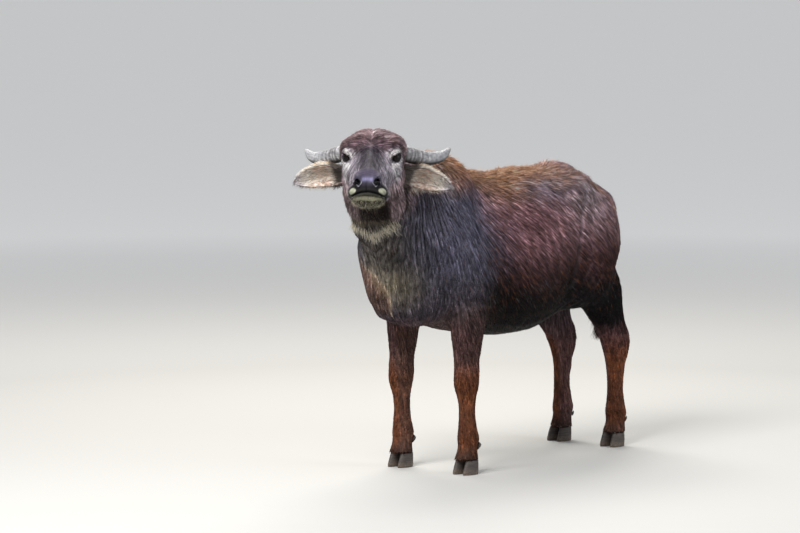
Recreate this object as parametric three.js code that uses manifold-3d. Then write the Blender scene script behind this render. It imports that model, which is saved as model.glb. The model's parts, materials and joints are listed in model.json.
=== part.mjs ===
// Young water buffalo, life size, standing square with its head raised and turned to its left.
// Millimetres, +Z up. The animal faces -Y and its left side is +X. The hooves stand on z = 0.
import * as THREE from 'three';
import { LoftGeometry } from 'three/addons/geometries/LoftGeometry.js';
import { mergeVertices } from 'three/addons/utils/BufferGeometryUtils.js';
import Module from 'manifold-3d';

// Driving sizes of the body
const WITHERS_HEIGHT = 1140;
const BACK_HEIGHT = 1062;
const RUMP_HEIGHT = 1068;
const CHEST_FLOOR = 500;
const BELLY_FLOOR = 458;
const BARREL_HALF_WIDTH = 230;
const FORE_STANCE = 150;
const HIND_STANCE = 124;
const FORE_FOOT_Y = -335;
const HIND_FOOT_Y = 580;

// Driving sizes of the head, measured from a point midway between the eyes
const HEAD_PLACE = new THREE.Vector3(132, -846, 1158);
const HEAD_TURN = THREE.MathUtils.degToRad(34.9);
const HEAD_DROOP = THREE.MathUtils.degToRad(15);
const EYE_RADIUS = 20;
const EYE_SIDE = 81;
const HORN_SPREAD = { left: 258, right: 254 };
const HORN_SWEEP = 232;
const HORN_DROP = 9;
const HORN_ROOT_RADIUS = 26;
const EAR_SPREAD = { left: 271, right: 290 };
const EAR_SWEEP = 134;
const EAR_HALF_HEIGHT = 39.5;
const SWITCH_TOP = 558;
const SWITCH_TIP = 378;

// Room kept between pieces that touch, and the steps of the facets
const GAP = 0.3;
const TRUNK_SIDES = 34;
const HEAD_SIDES = 34;
const LEG_SIDES = 16;

const wasm = await Module();
wasm.setup();

const buffalo = new THREE.Group();
const headGroup = new THREE.Group();
headGroup.position.copy(HEAD_PLACE);
headGroup.rotation.set(HEAD_DROOP, 0, HEAD_TURN, 'ZYX');
headGroup.updateMatrixWorld(true);
buffalo.add(headGroup);

const materials = {
  coat: new THREE.MeshStandardMaterial({ color: 0x4a332b, roughness: 0.85, metalness: 0 }),
  neckCoat: new THREE.MeshStandardMaterial({ color: 0x3d3836, roughness: 0.85, metalness: 0 }),
  face: new THREE.MeshStandardMaterial({ color: 0x55504f, roughness: 0.8, metalness: 0 }),
  legCoat: new THREE.MeshStandardMaterial({ color: 0x5a3423, roughness: 0.85, metalness: 0 }),
  earSkin: new THREE.MeshStandardMaterial({ color: 0x8d7563, roughness: 0.85, metalness: 0 }),
  horn: new THREE.MeshStandardMaterial({ color: 0x6d6c66, roughness: 0.5, metalness: 0 }),
  hoof: new THREE.MeshStandardMaterial({ color: 0x2c2724, roughness: 0.5, metalness: 0 }),
  eye: new THREE.MeshStandardMaterial({ color: 0x0d0907, roughness: 0.06, metalness: 0 }),
  switchHair: new THREE.MeshStandardMaterial({ color: 0x2a1f1a, roughness: 0.8, metalness: 0 }),
};

// A point of the head, by how far it lies to the left, ahead of the eyes and above them
const inHead = (side, ahead, up) => new THREE.Vector3(side, -ahead, up);

// Solids for joining and cutting

function solidOf(geometry) {
  const bare = geometry.index ? geometry.toNonIndexed() : geometry.clone();
  const positions = new THREE.BufferGeometry().setAttribute('position', bare.getAttribute('position'));
  const merged = mergeVertices(positions, 1e-3);
  return new wasm.Manifold(new wasm.Mesh({
    numProp: 3,
    vertProperties: merged.attributes.position.array,
    triVerts: new Uint32Array(merged.index.array),
  }));
}

function geometryOf(solid) {
  const made = solid.getMesh();
  const geometry = new THREE.BufferGeometry();
  geometry.setAttribute('position', new THREE.BufferAttribute(new Float32Array(made.vertProperties), 3));
  geometry.setIndex(new THREE.BufferAttribute(new Uint32Array(made.triVerts), 1));
  geometry.computeVertexNormals();
  return geometry;
}

// The largest closed surface of a solid, so that no loose scrap or sealed hollow stays
function mainBody(solid) {
  return solid.decompose().reduce((best, body) => (body.volume() > best.volume() ? body : best));
}

function addNode(parent, name, solid, material) {
  const mesh = new THREE.Mesh(geometryOf(mainBody(solid)), material.clone());
  mesh.name = name;
  parent.add(mesh);
  return mesh;
}

// Smooth tables: each row is a station's key and the sizes there

function smoothTable(rows) {
  const columns = rows[0].length - 1;
  const keys = rows.map((row) => row[0]);
  const values = rows.flatMap((row) => row.slice(1));
  const curve = new THREE.CubicInterpolant(keys, values, columns);
  return (key) => Array.from(curve.evaluate(THREE.MathUtils.clamp(key, keys[0], keys.at(-1))));
}

// Even steps that crowd towards both ends, where a form closes
function crowdedSteps(count, first, last, crowding) {
  return Array.from({ length: count + 1 }, (_, i) => {
    const even = i / count;
    const eased = (1 - Math.cos(Math.PI * even)) / 2;
    return THREE.MathUtils.lerp(first, last, THREE.MathUtils.lerp(even, eased, crowding));
  });
}

// Masses of flesh: each is a function of a point, negative inside it, in millimetres

function roundMass(centre, radii, tilt = 0) {
  const spin = new THREE.Quaternion().setFromAxisAngle(new THREE.Vector3(1, 0, 0), -tilt);
  return (point) => {
    const p = point.clone().sub(centre).applyQuaternion(spin);
    const near = Math.hypot(p.x / radii[0], p.y / radii[1], p.z / radii[2]);
    const slope = Math.hypot(p.x / radii[0] ** 2, p.y / radii[1] ** 2, p.z / radii[2] ** 2);
    return slope > 1e-9 ? (near * (near - 1)) / slope : -Math.min(...radii);
  };
}

function longMass(start, end, startRadius, endRadius) {
  const line = new THREE.Line3(start, end);
  const foot = new THREE.Vector3();
  return (point) => {
    const t = line.closestPointToPointParameter(point, true);
    line.at(t, foot);
    return foot.distanceTo(point) - THREE.MathUtils.lerp(startRadius, endRadius, t);
  };
}

function softJoin(a, b, reach) {
  const near = Math.max(reach - Math.abs(a - b), 0) / reach;
  return Math.min(a, b) - near * near * reach * 0.25;
}

function softCut(a, b, reach) {
  return -softJoin(-a, b, reach);
}

// A section's own outline: a rounded form with its own fullness above and below its widest height
function sectionField(side, height, size) {
  const middle = size.middle;
  const span = height > middle ? size.top - middle : middle - size.bottom;
  const power = height > middle ? size.topPower : size.bottomPower;
  const ratio = (Math.abs(side) / size.half) ** power + (Math.abs(height - middle) / span) ** power;
  return (ratio ** (1 / power) - 1) * Math.min(size.half, span);
}

// How far flesh reaches from a section's centre in one direction
function reachOf(field, centre, direction, limit) {
  const step = 6;
  const point = new THREE.Vector3();
  const at = (r) => field(point.copy(centre).addScaledVector(direction, r));
  let inner = step;
  while (inner < limit && at(inner + step) < 0) inner += step;
  let outer = inner + step;
  for (let i = 0; i < 12; i += 1) {
    const half = (inner + outer) / 2;
    if (at(half) < 0) inner = half;
    else outer = half;
  }
  return inner;
}

// A closed form through a run of sections, with every section turned so that the form faces outwards
function closedLoft(sections) {
  const first = sections[0];
  const normal = new THREE.Vector3();
  const edge = new THREE.Vector3();
  for (let i = 1; i < first.length - 1; i += 1) {
    const across = first[i + 1].clone().sub(first[0]);
    normal.add(edge.copy(first[i]).sub(first[0]).cross(across));
  }
  const middle = (ring) => ring.reduce((sum, p) => sum.add(p), new THREE.Vector3()).divideScalar(ring.length);
  const onwards = middle(sections[1]).sub(middle(first));
  const turned = normal.dot(onwards) < 0 ? sections.map((ring) => [...ring].reverse()) : sections;
  return new LoftGeometry(turned, { capStart: true, capEnd: true });
}

// A closed form from rings of points, each ring found by how far the flesh reaches from its centre
function fleshLoft(rings, sides, grow = 0) {
  const sections = rings.map((ring) => Array.from({ length: sides }, (_, j) => {
    const angle = (2 * Math.PI * j) / sides;
    const direction = ring.side.clone().multiplyScalar(Math.cos(angle));
    direction.addScaledVector(ring.up, Math.sin(angle));
    const reach = reachOf(ring.field, ring.centre, direction, ring.limit) * (ring.shrink ?? 1) + grow;
    return ring.centre.clone().addScaledVector(direction, reach).add(ring.shift ?? new THREE.Vector3());
  }));
  if (grow > 0) {
    sections[0].forEach((p) => p.addScaledVector(rings[0].along, -grow));
    sections.at(-1).forEach((p) => p.addScaledVector(rings.at(-1).along, grow));
  }
  return closedLoft(sections);
}

// One lock of long hair: flat, tapered and bent, from a root that is sunk in to a fine tip
function lockGeometry(root, tip, bend, facing, size) {
  const steps = 3;
  const start = tip.clone().sub(root).sub(bend);
  const sections = Array.from({ length: steps + 1 }, (_, i) => {
    const t = i / steps;
    const centre = root.clone().addScaledVector(start, t).addScaledVector(bend, t * t);
    const along = start.clone().addScaledVector(bend, 2 * t);
    const across = new THREE.Vector3().crossVectors(along, facing).normalize();
    const rise = new THREE.Vector3().crossVectors(across, along).normalize();
    const fullness = Math.max(Math.sin(Math.PI * (0.28 + 0.72 * t)) ** 0.8, 0.08);
    const wide = (size.width / 2) * fullness;
    const thick = (size.thickness / 2) * fullness;
    return [
      centre.clone().addScaledVector(across, wide),
      centre.clone().addScaledVector(rise, thick),
      centre.clone().addScaledVector(across, -wide),
      centre.clone().addScaledVector(rise, -thick),
    ];
  });
  return closedLoft(sections);
}

// Trunk: one run of sections from the rump to the throat

// station, x, y, z of the centre, reach up, reach down, half width, widest height, fullness above, below
const TRUNK_TABLE = [
  [0, 0, 556, 808, 160, 186, 130, -30, 2.2, 2.4],
  [1, 0, 480, 808, 218, 201, 162, -20, 2.1, 2.5],
  [2, 0, 380, 804, RUMP_HEIGHT - 812, 248, 178, -10, 2.4, 2.4],
  [3, 0, 270, 795, RUMP_HEIGHT - 806, 279, 194, -20, 2.4, 2.3],
  [4, 0, 140, 782, BACK_HEIGHT - 774, 782 - BELLY_FLOOR - 8, 216, -40, 2, 2.2],
  [5, 0, 0, 772, BACK_HEIGHT - 774, 772 - BELLY_FLOOR, BARREL_HALF_WIDTH, -50, 1.8, 2.2],
  [6, 0, -120, 780, BACK_HEIGHT - 774, 304, 222, -55, 1.7, 2.1],
  [7, 0, -230, 804, WITHERS_HEIGHT - 852, 804 - CHEST_FLOOR + 8, 196, -60, 1.6, 2.1],
  [8, 0, -340, 850, 262, 324, 172, -50, 1.6, 2],
  [9, 4, -440, 905, 254, 286, 162, -30, 1.7, 2],
  [10, 14, -535, 968, 208, 208, 150, -24, 1.8, 2.4],
  [11, 30, -620, 1040, 156, 170, 142, -34, 1.7, 2.9],
  [12, 46, -705, 1092, 124, 160, 116, -50, 1.6, 3],
  [13, 66, -775, 1130, 92, 134, 80, -40, 1.8, 2.6],
];
const trunkAt = smoothTable(TRUNK_TABLE);
const NECK_STATION = 9.5;
const THROAT_STATION = 12.9;

const trunkPlace = (station) => {
  const [x, y, z] = trunkAt(station);
  return new THREE.Vector3(x, y, z);
};

// Muscle and bone that stand out of the trunk, given for the left side
const at = (x, y, z) => new THREE.Vector3(x, y, z);
const TRUNK_MASSES = [
  { mass: longMass(at(72, -340, 1022), at(110, -460, 820), 60, 72), reach: 130 },
  { mass: longMass(at(114, -472, 780), at(132, -340, 650), 72, 62), reach: 110 },
  { mass: roundMass(at(112, -330, 770), [84, 105, 150], 0.3), reach: 90 },
  { mass: roundMass(at(56, -500, 660), [84, 80, 110], -0.3), reach: 100 },
  { mass: roundMass(at(130, 326, 984), [48, 66, 34], 0.2), reach: 80 },
  { mass: roundMass(at(76, 552, 912), [36, 42, 42], 0), reach: 60 },
  { mass: roundMass(at(92, 456, 800), [80, 124, 165], 0.1), reach: 90 },
  { mass: longMass(at(104, 446, 760), at(HIND_STANCE - 10, 424, 620), 94, 80), reach: 90 },
  { mass: roundMass(at(126, 316, 640), [60, 74, 90], 0.2), reach: 70 },
];
const WITHERS_RIDGE = longMass(at(0, -405, WITHERS_HEIGHT - 33), at(0, -310, WITHERS_HEIGHT - 52), 30, 26);
const SACRUM_RIDGE = longMass(at(0, 350, RUMP_HEIGHT - 40), at(0, 420, RUMP_HEIGHT - 44), 36, 34);
const FLANK_HOLLOW = roundMass(at(256, 185, 905), [62, 90, 100], 0);

function trunkField(station) {
  const [, , , up, down, half, middle, topPower, bottomPower] = trunkAt(station);
  const size = { top: up, bottom: -down, half, middle, topPower, bottomPower };
  const { centre, side, up: rise } = trunkFrame(station);
  const offset = new THREE.Vector3();
  return (point) => {
    offset.copy(point).sub(centre);
    let depth = sectionField(offset.dot(side), offset.dot(rise), size);
    const left = new THREE.Vector3(Math.abs(point.x), point.y, point.z);
    for (const { mass, reach } of TRUNK_MASSES) depth = softJoin(depth, mass(left), reach);
    depth = softJoin(depth, WITHERS_RIDGE(left), 60);
    depth = softJoin(depth, SACRUM_RIDGE(left), 60);
    return softCut(depth, FLANK_HOLLOW(left), 60);
  };
}

function trunkFrame(station) {
  const centre = trunkPlace(station);
  const along = trunkPlace(station + 0.05).sub(trunkPlace(Math.max(station - 0.05, 0))).normalize();
  const side = new THREE.Vector3(-along.y, along.x, 0).normalize();
  const up = new THREE.Vector3().crossVectors(along, side);
  return { centre, along, side, up };
}

function trunkRings(stations) {
  return stations.map((station) => ({ ...trunkFrame(station), field: trunkField(station), limit: 420 }));
}

// Ever smaller copies of an end section, that round it off over a given depth
function roundedEnd(ring, depth, turns) {
  return turns.map((turn) => {
    const angle = (turn * Math.PI) / 2;
    const shift = ring.along.clone().multiplyScalar(depth * Math.sin(angle));
    return { ...ring, shift, shrink: Math.max(Math.cos(angle) ** 0.7, 0.12) };
  });
}

const RUMP_DEPTH = 50;
const torsoRings = [
  ...roundedEnd(trunkRings([0])[0], -RUMP_DEPTH, [1, 0.86, 0.66, 0.42, 0.2]),
  ...trunkRings(crowdedSteps(30, 0, NECK_STATION, 0.2)),
];
const torso = solidOf(fleshLoft(torsoRings, TRUNK_SIDES));
const torsoGrown = solidOf(fleshLoft(torsoRings, TRUNK_SIDES, GAP));
addNode(buffalo, 'torso', torso, materials.coat);

// Legs: level sections from the coronet to above the elbow or stifle

// height, front edge y, rear edge y, centre x, half width
const FORELEG_TABLE = [
  [50, -382, -296, 0, 46],
  [70, -374, -298, 0, 43],
  [95, -366, -296, 0, 38],
  [125, -370, -284, 0, 40],
  [150, -368, -290, 0, 37],
  [185, -366, -300, 0, 33],
  [240, -366, -302, 0, 33],
  [282, -376, -300, 0, 39],
  [318, -388, -292, 0, 46],
  [352, -388, -288, 0, 47],
  [390, -384, -288, -1, 45],
  [450, -390, -276, -2, 49],
  [520, -402, -256, -4, 57],
  [590, -412, -236, -8, 66],
  [650, -420, -230, -20, 69],
  [740, -410, -250, -52, 62],
].map(([z, front, rear, shift, half]) => [z, front - FORE_FOOT_Y, rear - FORE_FOOT_Y, shift, half]);

const HINDLEG_TABLE = [
  [50, -40, 46, 0, 45],
  [70, -34, 46, 0, 42],
  [95, -26, 48, 0, 37],
  [125, -30, 60, 0, 40],
  [152, -27, 52, 0, 36],
  [190, -24, 42, 0, 32],
  [260, -26, 44, 0, 32],
  [310, -32, 54, 0, 37],
  [355, -46, 70, 0, 44],
  [400, -68, 80, 0, 46],
  [430, -90, 76, 0, 42],
  [470, -128, 56, 0, 42],
  [520, -186, 44, 0, 50],
  [580, -250, 36, 0, 62],
  [650, -300, 22, -10, 72],
  [740, -300, 0, -34, 72],
];

// The right stifle is further forward, and slack skin fills the space in front of it
const RIGHT_HINDLEG_TABLE = HINDLEG_TABLE.map(([z, front, rear, shift, half]) => {
  const slack = 28 * Math.exp(-(((z - 460) / 60) ** 2));
  return [z, front - slack, rear, shift, half];
});

function legRings(table, steps, left, stance, footY) {
  const sizes = smoothTable(table);
  return steps.map((z) => {
    const [front, rear, shift, half] = sizes(z);
    const centre = new THREE.Vector3(left * (stance + shift), footY + (front + rear) / 2, z);
    const depth = (rear - front) / 2;
    const field = (p) => {
      const across = Math.abs(p.x - centre.x) / half;
      const along = Math.abs(p.y - centre.y) / depth;
      return (Math.hypot(across ** 1.1, along ** 1.1) - 1) * half;
    };
    const side = new THREE.Vector3(1, 0, 0);
    const up = new THREE.Vector3(0, 1, 0);
    return { centre, side, up, along: new THREE.Vector3(0, 0, 1), field, limit: 400 };
  });
}

const CLAW_LENGTH = 84;
const CLAW_WIDTH = 42;
const CLAW_HEIGHT = 51;
const LEG_STEPS = [
  CLAW_HEIGHT + GAP, 68, 84, 104, 126, 146, 172, 215, 255, 285, 312,
  340, 366, 396, 430, 466, 505, 550, 600, 655, 740,
];
// One claw: a flat sole, a sloping front wall and a level coronet
function clawGeometry() {
  const layers = [
    { z: 0, length: 1, width: 0.94, shift: 0 },
    { z: 6, length: 1.01, width: 1, shift: 0 },
    { z: 26, length: 0.9, width: 0.98, shift: 3.5 },
    { z: CLAW_HEIGHT, length: 0.74, width: 0.9, shift: 8 },
  ];
  const sides = 12;
  const sections = layers.map(({ z, length, width, shift }) => Array.from({ length: sides }, (_, j) => {
    const angle = (2 * Math.PI * j) / sides;
    const back = Math.sin(angle) > 0 ? 0.8 : 1;
    const x = Math.cos(angle) * (CLAW_WIDTH / 2) * width * (Math.sin(angle) < 0 ? 0.94 : 1);
    const y = Math.sin(angle) * (CLAW_LENGTH / 2) * length * back + shift;
    return new THREE.Vector3(x, y, z);
  }));
  return closedLoft(sections);
}

// A dewclaw: a small blunt cone behind the fetlock
function dewclawGeometry() {
  const profile = [[0, 0], [13, 0], [12, 12], [8, 24], [0, 30]].map(([r, h]) => new THREE.Vector2(r, h));
  return new THREE.LatheGeometry(profile, 10);
}

const FEET = [
  { name: 'fore', left: 1, table: FORELEG_TABLE, stance: FORE_STANCE, footY: FORE_FOOT_Y },
  { name: 'fore', left: -1, table: FORELEG_TABLE, stance: FORE_STANCE, footY: FORE_FOOT_Y },
  { name: 'hind', left: 1, table: HINDLEG_TABLE, stance: HIND_STANCE, footY: HIND_FOOT_Y },
  { name: 'hind', left: -1, table: RIGHT_HINDLEG_TABLE, stance: HIND_STANCE, footY: HIND_FOOT_Y },
];

function buildLeg({ name, left, table, stance, footY }) {
  const sideName = left > 0 ? 'left' : 'right';
  const rings = legRings(table, LEG_STEPS, left, stance, footY);
  const leg = solidOf(fleshLoft(rings, LEG_SIDES)).subtract(torsoGrown);
  const grownLeg = solidOf(fleshLoft(rings, LEG_SIDES, GAP));
  for (const turn of [-1, 1]) {
    const side = turn === left ? 'outer' : 'inner';
    const geometry = dewclawGeometry();
    geometry.rotateX(Math.PI + 0.75);
    geometry.rotateZ(turn * 0.25);
    geometry.translate(left * stance + turn * 17, footY + 44, 106);
    const solid = solidOf(geometry);
    addNode(buffalo, `dewclaw_${name}_${sideName}_${side}`, solid.subtract(grownLeg), materials.hoof);
  }
  addNode(buffalo, `${name}leg_${sideName}`, leg, materials.legCoat);
  for (const turn of [-1, 1]) {
    const side = turn === left ? 'outer' : 'inner';
    const clawName = `hoof_${name}_${sideName}_${side}`;
    const claw = addNode(buffalo, clawName, solidOf(clawGeometry()), materials.hoof);
    claw.position.set(left * stance + turn * (CLAW_WIDTH / 2 + 1.5), footY - 6, 0);
    claw.rotation.z = -turn * 0.05;
  }
}
FEET.forEach(buildLeg);

// Head, in its own frame

// ahead of the eyes, top, bottom, half width, widest height, fullness above, below
const HEAD_TABLE = [
  [-168, -14, -80, 40, -44, 2, 2],
  [-155, 32, -112, 70, -38, 2, 2.2],
  [-130, 62, -146, 89, -34, 2.4, 2.5],
  [-90, 75, -170, 98, -36, 2.7, 2.9],
  [-45, 76, -176, 96, -46, 2.8, 3],
  [0, 64, -168, 92, -50, 2.5, 2.8],
  [50, 48, -150, 74, -54, 2.2, 2.5],
  [100, 38, -130, 66, -56, 2, 2.4],
  [150, 31, -114, 62, -60, 1.9, 2.4],
  [195, 25, -103, 60, -62, 1.8, 2.5],
  [230, 13, -96, 56, -60, 1.9, 2.5],
  [250, -2, -86, 48, -54, 2, 2.3],
];
const headAt = smoothTable(HEAD_TABLE);

const HEAD_MASSES = [
  { mass: roundMass(inHead(78, -32, 2), [31, 38, 38], 0), reach: 26 },
  { mass: longMass(inHead(81, -44, 34), inHead(70, 18, 28), 16, 10), reach: 26 },
  { mass: roundMass(inHead(66, -52, -92), [42, 74, 66], 0), reach: 40 },
  { mass: longMass(inHead(68, 14, -34), inHead(48, 95, -46), 22, 16), reach: 40 },
  { mass: longMass(inHead(0, 40, 20), inHead(0, 200, 1), 27, 25), reach: 30 },
  { mass: roundMass(inHead(31, 224, -2), [20, 32, 23], 0.3), reach: 24 },
  { mass: longMass(inHead(53, 223, -46), inHead(63, 178, -70), 20, 17), reach: 26 },
  { mass: roundMass(inHead(0, 232, -34), [52, 26, 26], 0), reach: 24 },
  { mass: roundMass(inHead(0, 220, -78), [42, 34, 20], 0), reach: 24 },
  { mass: roundMass(inHead(84, -76, 2), [32, 36, 34], 0), reach: 34 },
];

function headRing(ahead) {
  const [top, bottom, half, middle, topPower, bottomPower] = headAt(ahead);
  const size = { top, bottom, half, middle, topPower, bottomPower };
  const field = (p) => {
    let depth = sectionField(p.x, p.z, size);
    const left = new THREE.Vector3(Math.abs(p.x), p.y, p.z);
    for (const { mass, reach } of HEAD_MASSES) depth = softJoin(depth, mass(left), reach);
    return depth;
  };
  return {
    centre: inHead(0, ahead, middle),
    along: inHead(0, 1, 0),
    side: new THREE.Vector3(1, 0, 0),
    up: new THREE.Vector3(0, 0, 1),
    field,
    limit: 200,
  };
}

const MUZZLE_START = 246;
const MUZZLE_DEPTH = 17;
const headRings = [
  ...crowdedSteps(30, -168, MUZZLE_START, 0.3).map(headRing),
  ...roundedEnd(headRing(MUZZLE_START), MUZZLE_DEPTH, [0.3, 0.55, 0.78, 1]),
];
const headForm = solidOf(fleshLoft(headRings, HEAD_SIDES));
const headGrown = solidOf(fleshLoft(headRings, HEAD_SIDES, GAP));
const headCore = solidOf(fleshLoft(headRings.filter((_, i) => i % 4 === 0), 10, -12));

// Line of the mouth: a thin curved slot, cut only as deep as the lips
function mouthSlot() {
  const upper = new THREE.CatmullRomCurve3([
    new THREE.Vector3(290, -28, 0),
    new THREE.Vector3(262, -34, 0),
    new THREE.Vector3(236, -50, 0),
    new THREE.Vector3(206, -72, 0),
    new THREE.Vector3(172, -90, 0),
  ]);
  const ahead = upper.getPoints(6);
  const outline = new THREE.Shape([
    ...ahead.map((p) => new THREE.Vector2(p.x, p.y)),
    ...ahead.reverse().map((p, i) => new THREE.Vector2(p.x - 1, p.y - 1.5 - 3 * Math.min(i / 3, 1))),
  ]);
  const slot = new THREE.ExtrudeGeometry(outline, { depth: 220, bevelEnabled: false, steps: 1 });
  slot.translate(0, 0, -110);
  const turned = new THREE.Matrix4().makeBasis(inHead(0, 1, 0), inHead(0, 0, 1), inHead(-1, 0, 0));
  slot.applyMatrix4(turned);
  return solidOf(slot);
}

// A nostril: a comma-shaped pit that opens forwards and outwards
function nostrilPit(side) {
  const pit = new THREE.SphereGeometry(1, 12, 8);
  pit.scale(9, 30, 12);
  pit.rotateX(-0.25);
  pit.rotateZ(side * 0.55);
  const place = inHead(side * 34, 240, -4);
  pit.translate(place.x, place.y, place.z);
  return solidOf(pit);
}

// Lids: a rim of two arcs that meet in the corners of the eye
const EYE_STANDS_OUT = 4;
const gazeOf = (side) => inHead(side * 0.79, 0.6, 0.1).normalize();

function eyePlace(side) {
  const gaze = gazeOf(side);
  const within = inHead(side * (EYE_SIDE - 40), -20, 2);
  const field = (p) => headRing(-p.y).field(p);
  const surface = within.clone().addScaledVector(gaze, reachOf(field, within, gaze, 200));
  return surface.addScaledVector(gaze, EYE_STANDS_OUT - EYE_RADIUS);
}

function eyeFrame(side) {
  const gaze = gazeOf(side);
  const forward = inHead(side * -0.6, 0.79, -0.1).normalize();
  const across = forward.clone().addScaledVector(gaze, -forward.dot(gaze)).normalize();
  const up = new THREE.Vector3().crossVectors(gaze, across).multiplyScalar(-side).normalize();
  return { gaze, across, up: up.z > 0 ? up : up.negate() };
}

function lidArc(side, rise, thickness) {
  const { gaze, across, up } = eyeFrame(side);
  const centre = eyePlace(side);
  const points = Array.from({ length: 9 }, (_, i) => {
    const t = -1 + (2 * i) / 8;
    const off = across.clone().multiplyScalar(t * 18).addScaledVector(up, rise * (1 - t * t) - t * 2);
    const depth = Math.sqrt(Math.max((EYE_RADIUS + 2) ** 2 - off.lengthSq(), 36));
    return centre.clone().add(off).addScaledVector(gaze, depth);
  });
  const path = new THREE.CatmullRomCurve3(points);
  const section = new THREE.Shape();
  section.absarc(0, 0, thickness, 0, 2 * Math.PI);
  const settings = { extrudePath: path, steps: 8, curveSegments: 3, bevelEnabled: false };
  return solidOf(new THREE.ExtrudeGeometry(section, settings));
}

const eyeBall = (side, radius) => {
  const ball = new THREE.SphereGeometry(radius, 12, 9);
  const place = eyePlace(side);
  ball.translate(place.x, place.y, place.z);
  return solidOf(ball);
};

let head = headForm.subtract(mouthSlot().subtract(headCore));
for (const side of [-1, 1]) {
  head = head.add(lidArc(side, 11, 5.5)).add(lidArc(side, -9, 4));
  head = head.subtract(eyeBall(side, EYE_RADIUS + GAP)).subtract(nostrilPit(side));
}
addNode(headGroup, 'head', head, materials.face);
for (const side of [-1, 1]) {
  const name = side > 0 ? 'eye_left' : 'eye_right';
  addNode(headGroup, name, eyeBall(side, EYE_RADIUS), materials.eye);
}

// Neck: the same run of sections, let into the back of the head
const neckRings = trunkRings(crowdedSteps(10, NECK_STATION, THROAT_STATION, 0));
neckRings[0].centre.addScaledVector(neckRings[0].along, GAP);
const headInPlace = headGrown.transform(headGroup.matrixWorld.elements);
const neck = solidOf(fleshLoft(neckRings, TRUNK_SIDES)).subtract(headInPlace);
addNode(buffalo, 'neck', neck, materials.neckCoat);

// Horns: swept out and back, then up at the tip, with rings of growth near the root
function hornGeometry(side, grow = 0) {
  const spread = side > 0 ? HORN_SPREAD.left : HORN_SPREAD.right;
  const drop = side > 0 ? 0 : HORN_DROP;
  const path = new THREE.CatmullRomCurve3([
    inHead(side * 76, -66, -2),
    inHead(side * 116, -86, -16),
    inHead(side * 170, -128, -44),
    inHead(side * (spread - 32), 52 - HORN_SWEEP, -56 - drop / 2),
    inHead(side * spread, -HORN_SWEEP, -42 - drop),
  ]);
  const steps = 20;
  const sides = 10;
  const frames = path.computeFrenetFrames(steps, false);
  const sections = Array.from({ length: steps + 1 }, (_, i) => {
    const t = i / steps;
    const ring = i % 2 ? 1 + 0.05 * (1 - t) ** 2 : 1;
    const thick = HORN_ROOT_RADIUS * Math.sqrt(Math.max(1 - t ** 2.2, 0.004)) * ring + grow;
    const centre = path.getPointAt(t);
    const along = frames.tangents[i];
    const across = new THREE.Vector3().crossVectors(along, at(0, 0, 1)).normalize();
    const up = new THREE.Vector3().crossVectors(across, along).normalize();
    return Array.from({ length: sides }, (_, j) => {
      const angle = (2 * Math.PI * j) / sides;
      return centre.clone()
        .addScaledVector(across, Math.cos(angle) * thick * 1.1)
        .addScaledVector(up, Math.sin(angle) * thick * 0.92);
    });
  });
  return closedLoft(sections);
}

for (const side of [-1, 1]) {
  const name = side > 0 ? 'horn_left' : 'horn_right';
  const horn = solidOf(hornGeometry(side)).subtract(headGrown).subtract(neckInHead());
  addNode(headGroup, name, horn, materials.horn);
}

function neckInHead() {
  const grown = solidOf(fleshLoft(neckRings, TRUNK_SIDES, GAP));
  return grown.transform(headGroup.matrixWorld.clone().invert().elements);
}

// Ears: a leaf-shaped cup that opens forwards, on a short stalk

// way along, half height, depth of the cup
const EAR_SHAPE = smoothTable([
  [0, 0.56, 20],
  [0.15, 0.66, 26],
  [0.35, 0.97, 30],
  [0.55, 1, 24],
  [0.76, 0.81, 14],
  [0.9, 0.46, 6],
  [1, 0.1, 1],
]);
const EAR_ARC = 7;

function earPath(side) {
  const droop = side > 0 ? 10 : -5;
  const spread = side > 0 ? EAR_SPREAD.left : EAR_SPREAD.right;
  return new THREE.CatmullRomCurve3([
    inHead(side * 74, -46, -76),
    inHead(side * 112, -66, -88),
    inHead(side * (spread - 112), -104, -104 - droop * 0.4),
    inHead(side * (spread - 59), 16 - EAR_SWEEP, -122 - droop * 0.7),
    inHead(side * spread, -EAR_SWEEP, -144 - droop),
  ]);
}

// Where the ear's cup lies: t runs from root to tip, s from its lower edge to its upper one
function earPlace(path, side, t, s) {
  const [share, cup] = EAR_SHAPE(t);
  const half = share * EAR_HALF_HEIGHT;
  const along = path.getTangentAt(t);
  const back = inHead(0, -1, 0).addScaledVector(along, -inHead(0, -1, 0).dot(along)).normalize();
  const up = new THREE.Vector3().crossVectors(along, back).multiplyScalar(side).normalize();
  const wall = THREE.MathUtils.lerp(6, 1.5, Math.min(t * 2.2, 1));
  const point = path.getPointAt(t).addScaledVector(up, s * half).addScaledVector(back, cup * (1 - s * s));
  return { point, along, back, up, wall, half };
}

function earGeometry(side) {
  const path = earPath(side);
  const steps = 14;
  const sections = Array.from({ length: steps + 1 }, (_, i) => {
    const t = i / steps;
    const outer = Array.from({ length: EAR_ARC }, (_, j) => {
      const { point, back, wall } = earPlace(path, side, t, -1 + (2 * j) / (EAR_ARC - 1));
      return point.addScaledVector(back, wall);
    });
    const inner = Array.from({ length: EAR_ARC }, (_, j) => {
      const s = 1 - (2 * j) / (EAR_ARC - 1);
      const { wall, half } = earPlace(path, side, t, s);
      const { point, back } = earPlace(path, side, t, s * (1 - (0.5 * wall) / half));
      const fill = t < 0.15 ? EAR_SHAPE(t)[1] * (1 - t / 0.15) * (1 - s * s) : 0;
      return point.addScaledVector(back, -wall - fill);
    });
    return [...outer, ...inner];
  });
  return closedLoft(sections);
}

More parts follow.
